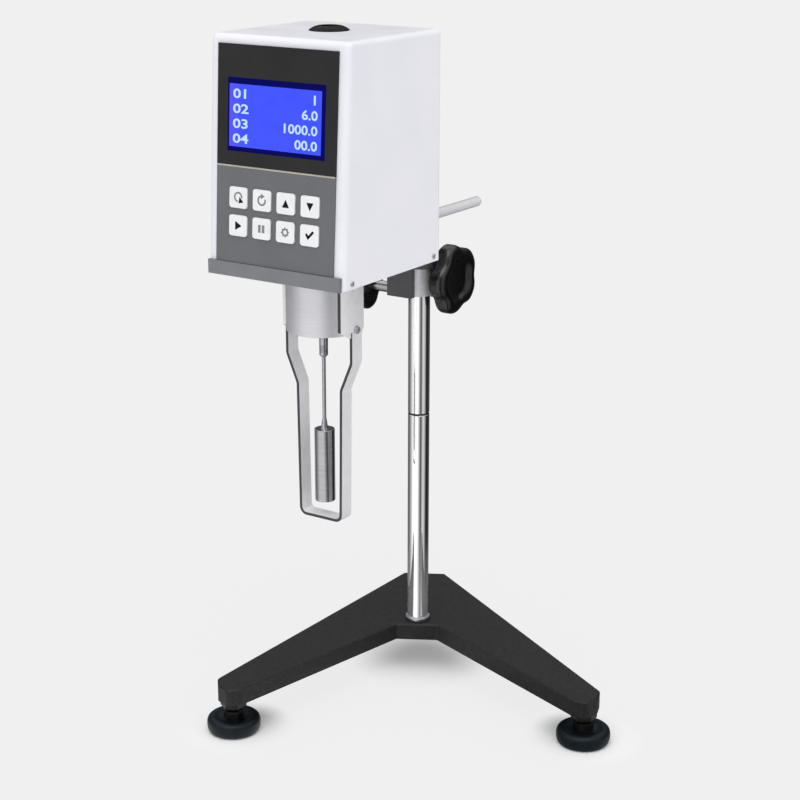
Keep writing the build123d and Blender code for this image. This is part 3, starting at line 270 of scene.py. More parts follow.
# blasted fine and pale on its broad faces; the sheared edges, which face front and back, get a painted shade
# of dark grey, and the left ear's upper edges are left pale as a painted highlight
strip = {"colours": ("#EEEEF1", "#F6F6F8"), "edge": "#3A3A3E", "facing": (0.55, 0.7), "highlightAbove": 297.5,
         "highlightBeside": 12.0}
stainless = makeFinish("stainless strip, fine blasted", strip["colours"], patch=2.0, stretch=(1.5, 1.5, 0.3),
                       gloss=(0.8, 0.34, 0.46), Metallic=0.2)
tree, shader = stainless.node_tree, stainless.node_tree.nodes["Principled BSDF"]
texture = addNode(tree, "ShaderNodeTexCoord").outputs
facing = addNode(tree, "ShaderNodeSeparateXYZ", None, {"Vector": texture["Normal"]}).outputs["Y"]
facing = addNode(tree, "ShaderNodeMath", None, {0: facing}, operation="ABSOLUTE").outputs[0]
edge = addNode(tree, "ShaderNodeMapRange", {"From Min": strip["facing"][0], "From Max": strip["facing"][1]},
               {"Value": facing}).outputs["Result"]
place = addNode(tree, "ShaderNodeSeparateXYZ", None, {"Vector": texture["Object"]}).outputs
# above this height and left of this line the edges keep the pale face colour: a painted highlight on the left
# ear
above = addNode(tree, "ShaderNodeMath", {1: strip["highlightAbove"] * mm}, {0: place["Z"]},
                operation="GREATER_THAN")
left = addNode(tree, "ShaderNodeMath", {1: (headX - strip["highlightBeside"]) * mm}, {0: place["X"]},
               operation="LESS_THAN")
paintedHighlightMask = addNode(tree, "ShaderNodeMath", None, {0: above.outputs[0], 1: left.outputs[0]},
                  operation="MULTIPLY")
edge = addNode(tree, "ShaderNodeMath", None, {0: edge, 1: paintedHighlightMask.outputs[0]}, operation="SUBTRACT",
               use_clamp=True).outputs[0]
# edges that face front and back take the dark edge colour: painted shade
face = shader.inputs["Base Color"].links[0].from_socket
paintedEdgeShade = addNode(tree, "ShaderNodeMixRGB", {"Color2": linearColour(strip["edge"])},
                  {"Fac": edge, "Color1": face})
tree.links.new(paintedEdgeShade.outputs["Color"], shader.inputs["Base Color"])

# Screen and inks. The lit glass is an even blue that turns violet towards its left end.
screen = {"colours": ("#1C28B0", "#2230C0"), "blue": "#3A4EEC", "violet": "#6350E4", "glow": 0.72,
          "fade": 12.0, "leftEnd": 40.0, "most": 0.75}
screenBlue = makeFinish("liquid crystal display, blue", screen["colours"], patch=14, gloss=(8, 0.12, 0.16),
                        IOR=1.5, Specular_IOR_Level=0.2, Emission_Strength=screen["glow"])
tree, shader = screenBlue.node_tree, screenBlue.node_tree.nodes["Principled BSDF"]
place = addNode(tree, "ShaderNodeTexCoord").outputs["Object"]
along = addNode(tree, "ShaderNodeSeparateXYZ", None, {"Vector": place}).outputs["X"]
leftEnd = (centre("display_window")[0] - screen["leftEnd"]) * mm
violet = addNode(tree, "ShaderNodeMapRange", {"From Min": leftEnd, "From Max": leftEnd + screen["fade"] * mm,
                                              "To Min": screen["most"], "To Max": 0.0}, {"Value": along})
glow = addNode(tree, "ShaderNodeMixRGB",
               {"Color1": linearColour(screen["blue"]), "Color2": linearColour(screen["violet"])},
               {"Fac": violet.outputs["Result"]})
tree.links.new(glow.outputs["Color"], shader.inputs["Emission Color"])
# the back light leaks a little blue into the print round the glass
navyBorder = makeFinish("display surround, printed navy", ("#010124", "#020230"), patch=14,
                        gloss=(8, 0.14, 0.2), IOR=1.5, Specular_IOR_Level=0.03,
                        Emission_Color=linearColour("#0A0A8C"), Emission_Strength=0.3)
# pale segments, lit from behind
digitWhite = makeFinish("liquid crystal segments, pale blue", ("#8CA8E0", "#9CB6EA"), patch=3,
                        gloss=(2, 0.2, 0.3), IOR=1.5, Emission_Color=linearColour("#B9D0FA"),
                        Emission_Strength=0.5)
# inks lie flat and matt, with no relief
inkBlack = makeFinish("pad printing ink, black", ("#0E0E10", "#161618"), patch=2, gloss=(1, 0.4, 0.5),
                      IOR=1.5, Specular_IOR_Level=0.1)
inkGrey = makeFinish("pad printing ink, grey", ("#76787C", "#84868A"), patch=2, gloss=(1, 0.4, 0.5), IOR=1.5)
trimBeige = makeFinish("screen printing ink, beige", ("#A69F92", "#B4AD9E"), patch=10, gloss=(4, 0.4, 0.5),
                       IOR=1.5)

finishOf = {
    "base_casting": castPaint, "foot_lock_nuts": blackSteel, "foot_pad": rubber, "foot_stud": blackSteel,
    "lower_column": chrome, "upper_column": chrome, "column_foot_ring": chrome, "column_bolt": blackSteel,
    "column_joint_ring": blackRing, "clamp_body": diePaint, "clamp_liner": linerAluminium,
    "pinion_bush": brass, "brake_shoe": brass, "lift_knob": phenolic, "lift_pinion": groundSteel,
    "lock_knob": phenolic, "lock_screw": groundSteel, "rod_thumb_screw": groundSteel,
    "head_rod": groundSteel, "rod_nut": plated, "head_cover": powderWhite, "front_ledge": ledgePaint,
    "display_panel": darkOverlay, "display_window": navyBorder, "display_module": board,
    "keypad_panel": greyOverlay, "keypad_board": board, "key_": keyCap, "level_bezel": phenolic,
    "level_vial": vialFluid, "chassis_plate": plated, "spindle_housing": satinAluminium,
    "pivot_bearing": brass, "guard": stainless, "motor": blackSteel, "motor_bridge": plated,
    "slot_sensor": blackRing, "main_board": board, "power_inlet": blackRing, "switch_frame": blackRing,
    "switch_rocker": phenolic, "probe_socket": plated, "coupling": groundSteel, "rotor": groundSteel,
    "pivot_shaft": groundSteel, "lower_disc": plated, "upper_disc": plated, "hairspring": brass,
    "drive_hub": groundSteel,
}
families = ("key_", "foot_pad", "foot_stud")  # nodes whose names start so share one finish
for name, node in nodes.items():
    family = [start for start in families if name.startswith(start)]
    node.data.materials.clear()
    node.data.materials.append(finishOf[family[0] if family else name])
print("finishes given to", len(nodes), "nodes")


# Column and feet, without the facets of the CAD. The upper rod has the rack on its back.
# front, side, flat and around count the points of a ring.
columnLine = {"radius": 8.3, "chamfer": 1.0, "spigot": 6.0, "stud": 4.0, "edge": 0.35, "collarEdge": 0.8,
              "front": 88, "side": 4, "flat": 13, "around": 128}
rackLine = {"module": 1.0, "pitchPlane": 5.8, "pinionZ": 320.0, "low": 218.0, "high": 352.0, "play": 0.12,
            "tip": 0.95, "root": 1.25, "flank": 20.0}
tipHeight, rootDepth = [rackLine[k] * rackLine["module"] for k in ("tip", "root")]
tipPlane, rootPlane = rackLine["pitchPlane"] + tipHeight, rackLine["pitchPlane"] - rootDepth


def rackRows(bottom, top):
    # rows (z, radius, limit): the back of the rod is cut to the plane y = limit. A tooth has straight
    # flanks, so its half width is (pitch - play) / 4 at the pitch plane, less height * tan(flank) above it
    pitch, slope = math.pi * rackLine["module"], math.tan(math.radians(rackLine["flank"]))
    half = pitch / 4 - rackLine["play"] / 4
    tipHalf, rootHalf = half - tipHeight * slope, half + rootDepth * slope
    first, last = [int((rackLine[k] - rackLine["pinionZ"]) / pitch) for k in ("low", "high")]
    start, end = [rackLine["pinionZ"] + (k - 0.5) * pitch for k in (first, last)]
    radius, chamfer = columnLine["radius"], columnLine["chamfer"]
    rows = [(bottom, 0.0, 0.0), (bottom, radius, radius), (start, radius, radius), (start, radius, tipPlane)]
    for k in range(first, last):
        low, high = [rackLine["pinionZ"] + (k + s) * pitch for s in (-0.5, 0.5)]
        rows += [(low + tipHalf, radius, tipPlane), (low + rootHalf, radius, rootPlane),
                 (high - rootHalf, radius, rootPlane), (high - tipHalf, radius, tipPlane)]
    return rows + [(end, radius, tipPlane), (end, radius, radius), (top - chamfer, radius, radius),
                   (top, radius - chamfer, radius - chamfer), (top, 0.0, 0.0)]


def columnRing(z, radius, limit):
    # r cos a and r sin a round the front, at the same angles in every ring so that it stays a true
    # cylinder, then a short arc on each side to the cut, and straight along the cut
    cut = math.asin(min(1.0, limit / radius)) if radius else math.pi / 2
    seam = math.asin(rootPlane / columnLine["radius"]) - 0.02  # just short of the deepest cut
    sides = np.linspace(seam, cut, columnLine["side"] + 1)[1:]
    front = np.linspace(np.pi - seam, 2 * np.pi + seam, columnLine["front"])
    angles = np.concatenate([np.pi - sides[::-1], front, 2 * np.pi + sides])
    across = np.linspace(1, -1, columnLine["flat"])[1:-1] * radius * math.cos(cut)
    x = np.concatenate([radius * np.cos(angles), across])
    y = np.concatenate([radius * np.sin(angles), np.full(len(across), radius * math.sin(cut))])
    return np.stack([x + columnX, y + columnY, np.full(len(x), z)], -1)


low, high = corners("upper_column")
rings = np.array([columnRing(*row) for row in rackRows(low[2], high[2])])
upperColumn = meshPiece("upper_column_rod", rings.reshape(-1, 3), gridFaces(*rings.shape[:2]), chrome,
                        "column", sharp=25)
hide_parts("upper_column")

low, high = corners("lower_column")
collarLow, collarHigh = corners("column_foot_ring")
shoulder = corners("column_joint_ring")[0][2]
radius, spigot, stud = columnLine["radius"], columnLine["spigot"], columnLine["stud"]
profile = softened([(0, low[2]), (spigot, low[2]), (spigot, collarLow[2]), (radius, collarLow[2]),
                    (radius, shoulder), (stud, shoulder), (stud, high[2]), (0, high[2])],
                   columnLine["edge"], 3)
lowerColumn = turnedPiece("lower_column_rod", profile, (columnX, columnY, 0), chrome, "column",
                          count=columnLine["around"])
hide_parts("lower_column")

collarRadius = (collarHigh[0] - collarLow[0]) / 2
profile = softened([(radius, collarLow[2]), (collarRadius, collarLow[2]), (collarRadius, collarHigh[2]),
                    (radius, collarHigh[2])], columnLine["collarEdge"], 5)
footRing = turnedPiece("column_foot_collar", profile + [(radius, collarLow[2])], (columnX, columnY, 0),
                       plated, "column", count=columnLine["around"])
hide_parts("column_foot_ring")

# a pad draws in at its foot, bulges at its side and rises to a soft rim round its dished top
padLine = {"drawnIn": 1.5, "bulgeFrom": 4.0, "bulgeTo": 1.2, "shoulder": (1.4, 1.0), "rimAt": 4.6, "rim": 2.4,
           "dishSide": 2.5, "dishRise": 0.6, "dish": 9.4, "bore": 4.02, "boreDepth": 6.0, "edge": 2.6}
shoulderIn, shoulderUp = padLine["shoulder"]
dish, bore = padLine["dish"], padLine["bore"]
for side in ("left", "right", "rear"):
    low, high = corners("foot_pad_" + side)
    x, y = centre("foot_pad_" + side)[:2]
    r, top, boreEnd = (high[0] - low[0]) / 2, high[2], high[2] - padLine["boreDepth"]
    profile = [(0, 0), (r - padLine["drawnIn"], 0), (r, padLine["bulgeFrom"]), (r, top - padLine["bulgeTo"]),
               (r - shoulderIn, top + shoulderUp), (r - padLine["rimAt"], top + padLine["rim"]),
               (dish + padLine["dishSide"], top + padLine["dishRise"]), (dish, top), (bore, top)]
    profile = softened(profile, padLine["edge"], 7) + [(bore, boreEnd), (0, boreEnd)]
    pad = turnedPiece("foot_pad_round_" + side, profile, (x, y, 0), rubber, "foot_" + side,
                      count=112, sharp=50)
    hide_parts("foot_pad_" + side)
print("column and feet ready")


# The spindle housing is an open cup turned in one piece. The guard's ears touch it at an angle from its
# front, and that gives its radius.
housingLine = {"wall": 4.0, "mouth": 6.0, "floor": 3.0, "flange": 32.0, "flangeThick": 3.0, "bearing": 7.0,
               "roof": 4.0, "edge": 0.7, "earAngle": 32.0, "gap": 0.02}
low, high = corners("spindle_housing")
guardLow, guardHigh = corners("guard")
floorZ, flangeZ = low[2] + housingLine["floor"], high[2] - housingLine["flangeThick"]
roofZ = high[2] - housingLine["roof"]
halfGuard = (guardHigh[1] - guardLow[1]) / 2
outer = halfGuard / math.sin(math.radians(housingLine["earAngle"])) - housingLine["gap"]
inner, mouth = outer - housingLine["wall"], housingLine["mouth"]
flange, bearing = housingLine["flange"], housingLine["bearing"]
profile = [(mouth, floorZ)]
profile += softened([(mouth, low[2]), (outer, low[2]), (outer, flangeZ)], housingLine["edge"], 4)
profile += [(flange, flangeZ), (flange, high[2]), (bearing, high[2]), (bearing, roofZ)]
profile += [(inner, roofZ), (inner, floorZ)]
housing = turnedPiece("spindle_housing_turned", profile, (headX, headY, 0), satinAluminium, "head",
                      count=160, closed=True)
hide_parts("spindle_housing")

# a ground cylinder with a slightly hollow foot, and a cone up to its thin shaft
rotorLine = {"hollow": 0.8, "flatUp": 0.6, "flatIn": 2.0, "top": 223.2, "cone": 2.75, "coneTop": 231.7,
             "shaft": 1.4, "edge": 0.5}
low, high = corners("rotor")
r, top, cone, shaft = (high[0] - low[0]) / 2, rotorLine["top"], rotorLine["cone"], rotorLine["shaft"]
profile = [(0, low[2] + rotorLine["hollow"]), (r - rotorLine["flatIn"], low[2] + rotorLine["flatUp"]),
           (r, low[2]), (r, top), (cone, top), (shaft, rotorLine["coneTop"]), (shaft, high[2]), (0, high[2])]
profile = softened(profile, rotorLine["edge"], 4)
rotor = turnedPiece("rotor_turned", profile, (headX, headY, 0), groundSteel, "spindle",
                    count=96)
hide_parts("rotor")

# a sleeve with four turned grooves, a little shorter than the solid, so the bare shaft shows below it
couplingLine = {"short": 3.7, "bore": 1.42, "chamferIn": 1.2, "chamferUp": 1.4, "groove": 0.35, "grooves": 4,
                "firstGroove": 4.0, "step": 1.4, "topBore": 2.02, "topDepth": 8.0}
low, high = corners("coupling")
r, end, groove = (high[0] - low[0]) / 2, low[2] + couplingLine["short"], couplingLine["groove"]
bore, topBore, topEnd = couplingLine["bore"], couplingLine["topBore"], high[2] - couplingLine["topDepth"]
profile = [(bore, end), (r - couplingLine["chamferIn"], end), (r, end + couplingLine["chamferUp"])]
for z in end + couplingLine["firstGroove"] + couplingLine["step"] * np.arange(couplingLine["grooves"]):
    profile += [(r, z - groove), (r - groove, z), (r, z + groove)]
profile += [(r, high[2]), (topBore, high[2]), (topBore, topEnd), (bore, topEnd)]
coupling = turnedPiece("coupling_turned", profile, (headX, headY, 0), groundSteel, "spindle",
                       count=72, closed=True, sharp=20)
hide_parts("coupling")

# the head's rod runs along Y, with a collar against the back of the cover
rodLine = {"radius": 4.0, "collar": 13.0, "collarThick": 4.0, "endChamfer": 0.8, "edge": 0.5}
low, high = corners("head_rod")
r, collar, chamfer = rodLine["radius"], rodLine["collar"], rodLine["endChamfer"]
collarFrom, collarTo = coverHigh[1], coverHigh[1] + rodLine["collarThick"]
profile = softened([(0, low[1]), (r, low[1]), (r, collarFrom), (collar, collarFrom), (collar, collarTo),
                    (r, collarTo), (r, high[1] - chamfer), (r - chamfer, high[1]), (0, high[1])],
                   rodLine["edge"], 3)
rod = turnedPiece("head_rod_turned", profile, (headX, 0, centre("head_rod")[2]), brightRod, "head",
                  axis="Y", count=80)
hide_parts("head_rod")
print("housing, rotor and rod ready")


# Knobs: a hub, five lobes, a wide rolled rim and a shallow dish. The hollows between the lobes are a share of
# the radius, and fade towards the face by the share in shallow.
knobLine = {"lobes": 5, "hollow": 0.14, "steep": 1.6, "around": 180, "rollIn": 7.5, "rollDown": 5.6,
            "shallow": 0.25, "backRoll": 2.5, "backEdge": 1.5, "sideTo": 0.45, "spread": 1.6,
            "dishFloor": 0.2,
            "lift": {"radius": 27.0, "thick": 14.0, "hub": 12.0, "dish": 11.0, "deep": 3.6, "turn": 36.0},
            "lock": {"radius": 21.0, "thick": 14.0, "hub": 8.0, "dish": 8.0, "deep": 2.8, "turn": 0.0}}


def knobRings(size, hubLength):
    # rings (share, radius, height), where share is how much of the lobes' wave a ring follows. The back edge
    # is a small roll. The front edge is a quarter of an ellipse: r - rollIn (1 - cos a), face - rollDown
    # (1 - sin a). The dish sinks by half its depth times one minus the cosine.
    r, thick, hub, dish, deep = [size[k] for k in ("radius", "thick", "hub", "dish", "deep")]
    rollIn, rollDown, shallow, back = [knobLine[k] for k in ("rollIn", "rollDown", "shallow", "backRoll")]
    face = hubLength + thick
    side = softened([(hub, 0), (hub, hubLength), (r - back, hubLength), (r, hubLength + back),
                     (r, hubLength + thick * knobLine["sideTo"])], knobLine["backEdge"], 4)
    rings = [(0.0, 0.0, 0.0), (0.0, hub, 0.0)]
    rings += [(min(1.0, max(0.0, (a - hub) / (r - hub) * knobLine["spread"])), a, h) for a, h in side[1:-1]]
    for a in np.linspace(0, math.pi / 2, 12):
        rings.append((1.0 - shallow * math.sin(a) ** 3, r - rollIn * (1 - math.cos(a)),
                      face - rollDown * (1 - math.sin(a))))
    for a in np.linspace(0, 1, 8)[1:]:
        rings.append(((1 - shallow) * (1 - a ** 2), (r - rollIn) * (1 - a) + dish * a,
                      face - deep * (0.5 - 0.5 * math.cos(a * math.pi))))
    return rings + [(0.0, 0.0, face - deep + knobLine["dishFloor"])]


def knobPiece(name, node, size, place, body, flip):
    # rings about X: each radius times 1 - share + share * wave, where wave is one minus the hollow times
    # (half minus half the cosine of 5 a) to a power; flip is -1 for a knob that faces -X
    low, high = corners(node)
    rings = np.array(knobRings(size, high[0] - low[0] - size["thick"]))[::flip]
    angles = np.arange(knobLine["around"]) * 2 * np.pi / knobLine["around"]
    dip = 0.5 - 0.5 * np.cos(knobLine["lobes"] * (angles - math.radians(size["turn"])))
    wave = 1 - knobLine["hollow"] * dip ** knobLine["steep"]
    share, radius, height = [v[:, None] for v in rings.T]
    radius = radius * (1 - share + share * wave)
    y, z = radius * np.cos(angles), radius * np.sin(angles)
    points = np.stack(np.broadcast_arrays(flip * height, y, z), -1)
    piece = meshPiece(name, points.reshape(-1, 3) + np.array(place), gridFaces(*points.shape[:2]), phenolic,
                      body, sharp=40)
    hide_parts(node)


liftPlace = (corners("lift_knob")[0][0], centre("pinion_bush")[1], rackLine["pinionZ"])
lockPlace = (corners("lock_knob")[1][0], *centre("lock_screw")[1:])
knobPiece("lift_knob_star", "lift_knob", knobLine["lift"], liftPlace, "lift_wheel", 1)
knobPiece("lock_knob_star", "lock_knob", knobLine["lock"], lockPlace, "lock_wheel", -1)

thumbLine = {"radius": 8.0, "thick": 8.0, "chamfer": 1.0, "ridge": 0.035, "ridges": 40, "stem": 2.5,
             "edge": 0.3}
low, high = corners("rod_thumb_screw")
start, end, r, chamfer = low[0], low[0] + thumbLine["thick"], thumbLine["radius"], thumbLine["chamfer"]
profile = softened([(0, start), (r - chamfer, start), (r, start + chamfer), (r, end - chamfer),
                    (r - chamfer, end)], thumbLine["edge"], 2)
profile += [(thumbLine["stem"], end), (thumbLine["stem"], high[0]), (0, high[0])]
thumb = turnedPiece("rod_thumb_screw_knurled", profile, (0, *centre("rod_thumb_screw")[1:]), groundSteel,
                    "rod_lock", axis="X", count=240,
                    wave=lambda a: 1 - thumbLine["ridge"] * (0.5 - 0.5 * np.cos(thumbLine["ridges"] * a)))
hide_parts("rod_thumb_screw")
print("knobs ready")


# Round level on the cover. Its dome falls from crown to rim as one minus the square of the share of the way.
levelLine = {"rise": 3.4, "rim": 0.35, "recess": 1.5, "stem": 2.98, "crown": 0.8, "play": 0.02,
             "lip": (0.1, 0.15), "lipDepth": 0.6, "target": (2.7, 2.95), "ink": 0.02, "edge": 0.4,
             "bubble": [(0, -0.5), (1.5, -0.45), (2.2, -0.1), (2.0, 0.04), (0, 0.06)]}
bezelLow, bezelHigh = corners("level_bezel")
vialLow, vialHigh = corners("level_vial")
levelPlace = (*centre("level_bezel")[:2], 0)
coverTop, domeTop = coverHigh[2], coverHigh[2] + levelLine["rise"]
vialTop, vialRadius = domeTop - levelLine["recess"], (vialHigh[0] - vialLow[0]) / 2
r, well = (bezelHigh[0] - bezelLow[0]) / 2, vialRadius + levelLine["play"]
fall = np.linspace(0, 1, 14)
dome = np.stack([r + (vialRadius + levelLine["crown"] - r) * fall, coverTop + levelLine["rim"]
                 + (levelLine["rise"] - levelLine["rim"]) * (1 - (1 - fall) ** 2)], -1)
profile = [(0, bezelLow[2]), (levelLine["stem"], bezelLow[2]), (levelLine["stem"], coverTop)]
profile += [(r, coverTop), *dome, (vialRadius + levelLine["lip"][0], domeTop - levelLine["lip"][1]),
            (well, domeTop - levelLine["lipDepth"]), (well, vialLow[2]), (0, vialLow[2])]
bezel = turnedPiece("level_bezel_dome", profile, levelPlace, dullBlack, "head", count=112,
                    sharp=45)
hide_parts("level_bezel")
profile = softened([(0, vialLow[2]), (vialRadius, vialLow[2]), (vialRadius, vialTop), (0, vialTop)],
                   levelLine["edge"], 3)
vial = turnedPiece("level_vial_disc", profile, levelPlace, vialFluid, "head", count=64)
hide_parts("level_vial")
turnedPiece("level_target_ring", [(r, vialTop + levelLine["ink"]) for r in levelLine["target"]], levelPlace,
            inkBlack, "head", count=64)
turnedPiece("level_bubble", [(r, vialTop + h) for r, h in levelLine["bubble"]], levelPlace, bubbleClear,
            "head", count=48, sharp=60)
print("level ready")


# What is printed or shown on the front, which leans back by back over rise: screen, numbers, trim line and
# key symbols.
panelLine = {"thickness": 1.6, "window": 1.4, "back": 10.0, "rise": 165.0, "ink": 0.03, "digits": 0.06,
             "keyRise": 0.9, "pointer": 0.02, "trim": (-50.0, 66.2, 50.0, 67.3)}
glass = {"left": -39.8, "low": 80.2, "right": 37.6, "high": 122.7, "margin": 1.0, "digit": 8.8,
         "baseline": 0.84, "labelAt": -36.8, "valueAt": 34.6, "labelWide": 1.55, "valueWide": 1.25,
         "bold": 0.022, "values": ("1", "6.0", "1000.0", "00.0")}
lean = math.atan2(panelLine["back"], panelLine["rise"])
low, high = corners("keypad_panel")
panelFoot = np.array([headX, low[1] + panelLine["thickness"] * math.cos(lean), low[2]])
across, upwards = np.array([1.0, 0.0, 0.0]), np.array([0.0, math.sin(lean), math.cos(lean)])
outwards = np.array([0.0, -math.cos(lean), math.sin(lean)])


def onPanel(points, proud):
    # flat points (x, up) laid on the leaning panel, proud of its back plane by this much: foot + x across +
    # up upwards + proud outwards
    x, up = np.array(points, float).T[:, :, None]
    return panelFoot + across * x + upwards * up + outwards * proud


def flatPiece(name, outlines, proud, finish, body):
    # each outline is one flat face, its points running anticlockwise as seen from the front
    ends = np.cumsum([len(outline) for outline in outlines])
    faces = [list(range(end - len(outline), end)) for end, outline in zip(ends, outlines)]
    return meshPiece(name, onPanel(np.concatenate(outlines), proud), faces, finish, body)


def rectangle(left, low, right, high):
    # its four corners, anticlockwise from the lowest left
    return [(left, low), (right, low), (right, high), (left, high)]


def arcPoints(radius, start, end, up=0.0, steps=24):
    # r cos a, r sin a + up, for a from start to end in degrees
    a = np.radians(np.linspace(start, end, steps + 1))
    return np.stack([radius * np.cos(a), radius * np.sin(a) + up], -1)


def band(inner, outer):
    # quads between two lines with the same number of points
    return list(np.stack([outer[:-1], outer[1:], inner[1:], inner[:-1]], 1))


def numberPiece(name, text, x, up, align, wide):
    # text in Blender's own font, made a mesh, then scaled and laid on the panel
    curve = bpy.data.curves.new(name + "_line", "FONT")
    curve.body, curve.size, curve.align_x = text, 1.0, align
    curve.resolution_u, curve.offset = 3, glass["bold"]
    holder = bpy.data.objects.new(name + "_holder", curve)
    bpy.context.scene.collection.objects.link(holder)
    flat = bpy.data.meshes.new_from_object(holder.evaluated_get(bpy.context.evaluated_depsgraph_get()))
    bpy.data.objects.remove(holder)
    local = np.empty(len(flat.vertices) * 3)
    flat.vertices.foreach_get("co", local)
    points = local.reshape(-1, 3)[:, :2] * glass["digit"] * (wide, 1.0) + (x, up)
    faces = [list(p.vertices) for p in flat.polygons]
    meshPiece(name, onPanel(points, panelLine["window"] + panelLine["digits"]), faces, digitWhite, "head")


flatPiece("display_glass", [rectangle(glass["left"], glass["low"], glass["right"], glass["high"])],
          panelLine["window"] + panelLine["ink"], screenBlue, "head")
rowStep = (glass["high"] - glass["low"] - 2 * glass["margin"]) / len(glass["values"])
for row, value in enumerate(glass["values"]):
    up = glass["high"] - glass["margin"] - rowStep * (row + glass["baseline"])
    number = row + 1
    numberPiece("row_number_%d" % number, "%02d" % number, glass["labelAt"], up, "LEFT", glass["labelWide"])
    numberPiece("row_value_%d" % number, value, glass["valueAt"], up, "RIGHT", glass["valueWide"])
flatPiece("panel_trim_line", [rectangle(*panelLine["trim"])], panelLine["thickness"] + panelLine["ink"],
          trimBeige, "head")

# plain symbols about the middle of a key, in millimetres; the setup key's is a gear of eight teeth
toothedRing = arcPoints(1.0, 0, 360, steps=32) * np.where(np.arange(33) % 4 < 2, 3.5, 2.7)[:, None]
symbols = {
    "auto": (band(arcPoints(2.4, -10, 262, up=0.4), arcPoints(3.7, -10, 262, up=0.4)), inkGrey),
    "return": ([*band(arcPoints(2.3, 100, 380), arcPoints(3.7, 100, 380)),
                [(-0.6, 1.0), (2.6, 3.0), (-0.6, 5.0)]], inkGrey),
    "up": ([[(-3.0, -2.7), (3.0, -2.7), (0.0, 2.9)]], inkBlack),
    "down": ([[(3.0, 2.7), (-3.0, 2.7), (0.0, -2.9)]], inkBlack),
    "run": ([[(-2.4, -3.2), (3.2, 0.0), (-2.4, 3.2)]], inkBlack),
    "pause": ([rectangle(-2.7, -2.7, -0.5, 2.7), rectangle(0.5, -2.7, 2.7, 2.7)], inkGrey),
    "setup": (band(arcPoints(1.5, 0, 360, steps=32), toothedRing), inkGrey),
    "confirm": ([[(-3.4, 0.5), (-1.1, -3.0), (0.1, -1.0), (-2.1, 1.7)],
                 [(-1.1, -3.0), (4.1, 2.5), (2.5, 3.4), (-0.8, -0.1)]], inkBlack),
}
pointer = [(0.2, -3.9), (4.4, -3.0), (1.2, 0.8)]
keyTop = panelLine["thickness"] + panelLine["keyRise"] + panelLine["ink"]


def keyPlace(name):
    # the key's place on the panel: how far its middle lies across and upwards from the foot
    away = np.array(centre("key_" + name)) - panelFoot
    return np.array([away @ across, away @ upwards])


for name, (outlines, ink) in symbols.items():
    moved = [np.array(outline) + keyPlace(name) for outline in outlines]
    flatPiece("symbol_" + name, moved, keyTop, ink, "key_" + name)
flatPiece("symbol_auto_pointer", [np.array(pointer) + keyPlace("auto")], keyTop + panelLine["pointer"],
          inkBlack, "key_auto")
print("display and key symbols ready")


# Screws: the guard's have a slot, the cover's have a cross.
screws = {"guard": {"radius": 3.0, "height": 1.9, "z": 302.3, "sunkIn": 0.25},
          "cover": {"radius": 2.0, "height": 1.1, "sideZ": 349.0, "sideY": (-46.7, 56.1), "backX": 48.0,
                    "backZ": (352.0, 500.0), "proud": 0.02},
          "slot": 0.16, "cross": 0.15, "crossReach": 0.62, "floor": 0.45, "around": 48}


def screwPiece(name, place, axis, size, body, drive, flip=1):
    # a pan head: r cos(t) ^ 0.45, h sin(t) ^ 0.9 at the rim, flat inside, with a slot or a cross sunk in
    angles = np.arange(screws["around"]) * 2 * np.pi / screws["around"]
    t = np.linspace(0.08, 1.25, 7)
    rim, flat = size["radius"] * np.cos(t) ** 0.45, size["height"] * np.sin(t) ** 0.9
    radii = np.concatenate([[size["radius"]], rim, np.linspace(rim[-1], 0, 8)[1:]])[:, None]
    heights = np.concatenate([[0.0], flat, np.full(7, size["height"])])[:, None]
    x, y = radii * np.cos(angles), radii * np.sin(angles)
    if drive == "slot":
        sunk = np.abs(x) < size["radius"] * screws["slot"]
    else:
        sunk = np.minimum(np.abs(x), np.abs(y)) < size["radius"] * screws["cross"]
        sunk &= np.hypot(x, y) < size["radius"] * screws["crossReach"]
    z = np.where(sunk, np.minimum(heights, size["height"] * screws["floor"]), heights)
    local = np.roll(np.stack([x, y * flip, z * flip], -1), {"Z": 0, "X": 1, "Y": 2}[axis], axis=-1)
    meshPiece(name, local.reshape(-1, 3) + np.array(place), gridFaces(*x.shape), screwSteel, body,
              sharp=35)


guardScrew, coverScrew = screws["guard"], screws["cover"]
ends = (("left", -1, guardLow[0], coverLow[0]), ("right", 1, guardHigh[0], coverHigh[0]))
for side, flip, earX, wallX in ends:
    place = (earX - flip * guardScrew["sunkIn"], headY, guardScrew["z"])
    screwPiece("guard_screw_" + side, place, "X", guardScrew, "head", "slot", flip)
for side, flip, earX, wallX in ends:
    for k, y in enumerate(coverScrew["sideY"]):
        place = (wallX + flip * coverScrew["proud"], headY + y, coverScrew["sideZ"])
        screwPiece("side_screw_%s_%d" % (side, k + 1), place, "X", coverScrew, "head", "cross", flip)
backPlaces = [(headX + flip * coverScrew["backX"], z) for flip in (-1, 1) for z in coverScrew["backZ"]]
for k, (x, z) in enumerate(backPlaces):
    screwPiece("back_screw_%d" % (k + 1), (x, coverHigh[1] + coverScrew["proud"], z), "Y", coverScrew,
               "head", "cross")
print("screws ready")


# The room: white paper, an even pale sky, and what polished metal mirrors.
room = {"floor": "#F1F1F2", "shown": "#EFEFEF", "reach": 30.0, "skyLight": 0.72, "cardLight": 1.2,
        "cardTurn": 57.35, "skyEdge": (0.45, 0.70)}
# The paper is an even white, but near these nodes the real shade shows through. A spot is (node, x and y away
# from its middle, inner and outer radius, evenness inside), in millimetres.
shade = {"open": 0.93, "spots": [("lower_column", -5.24, 15.41, 12, 66, 0.30),
                                 ("foot_pad_left", -1.10, 2.29, 24, 48, 0.05),
                                 ("foot_pad_right", -0.56, 4.64, 24, 48, 0.05)]}
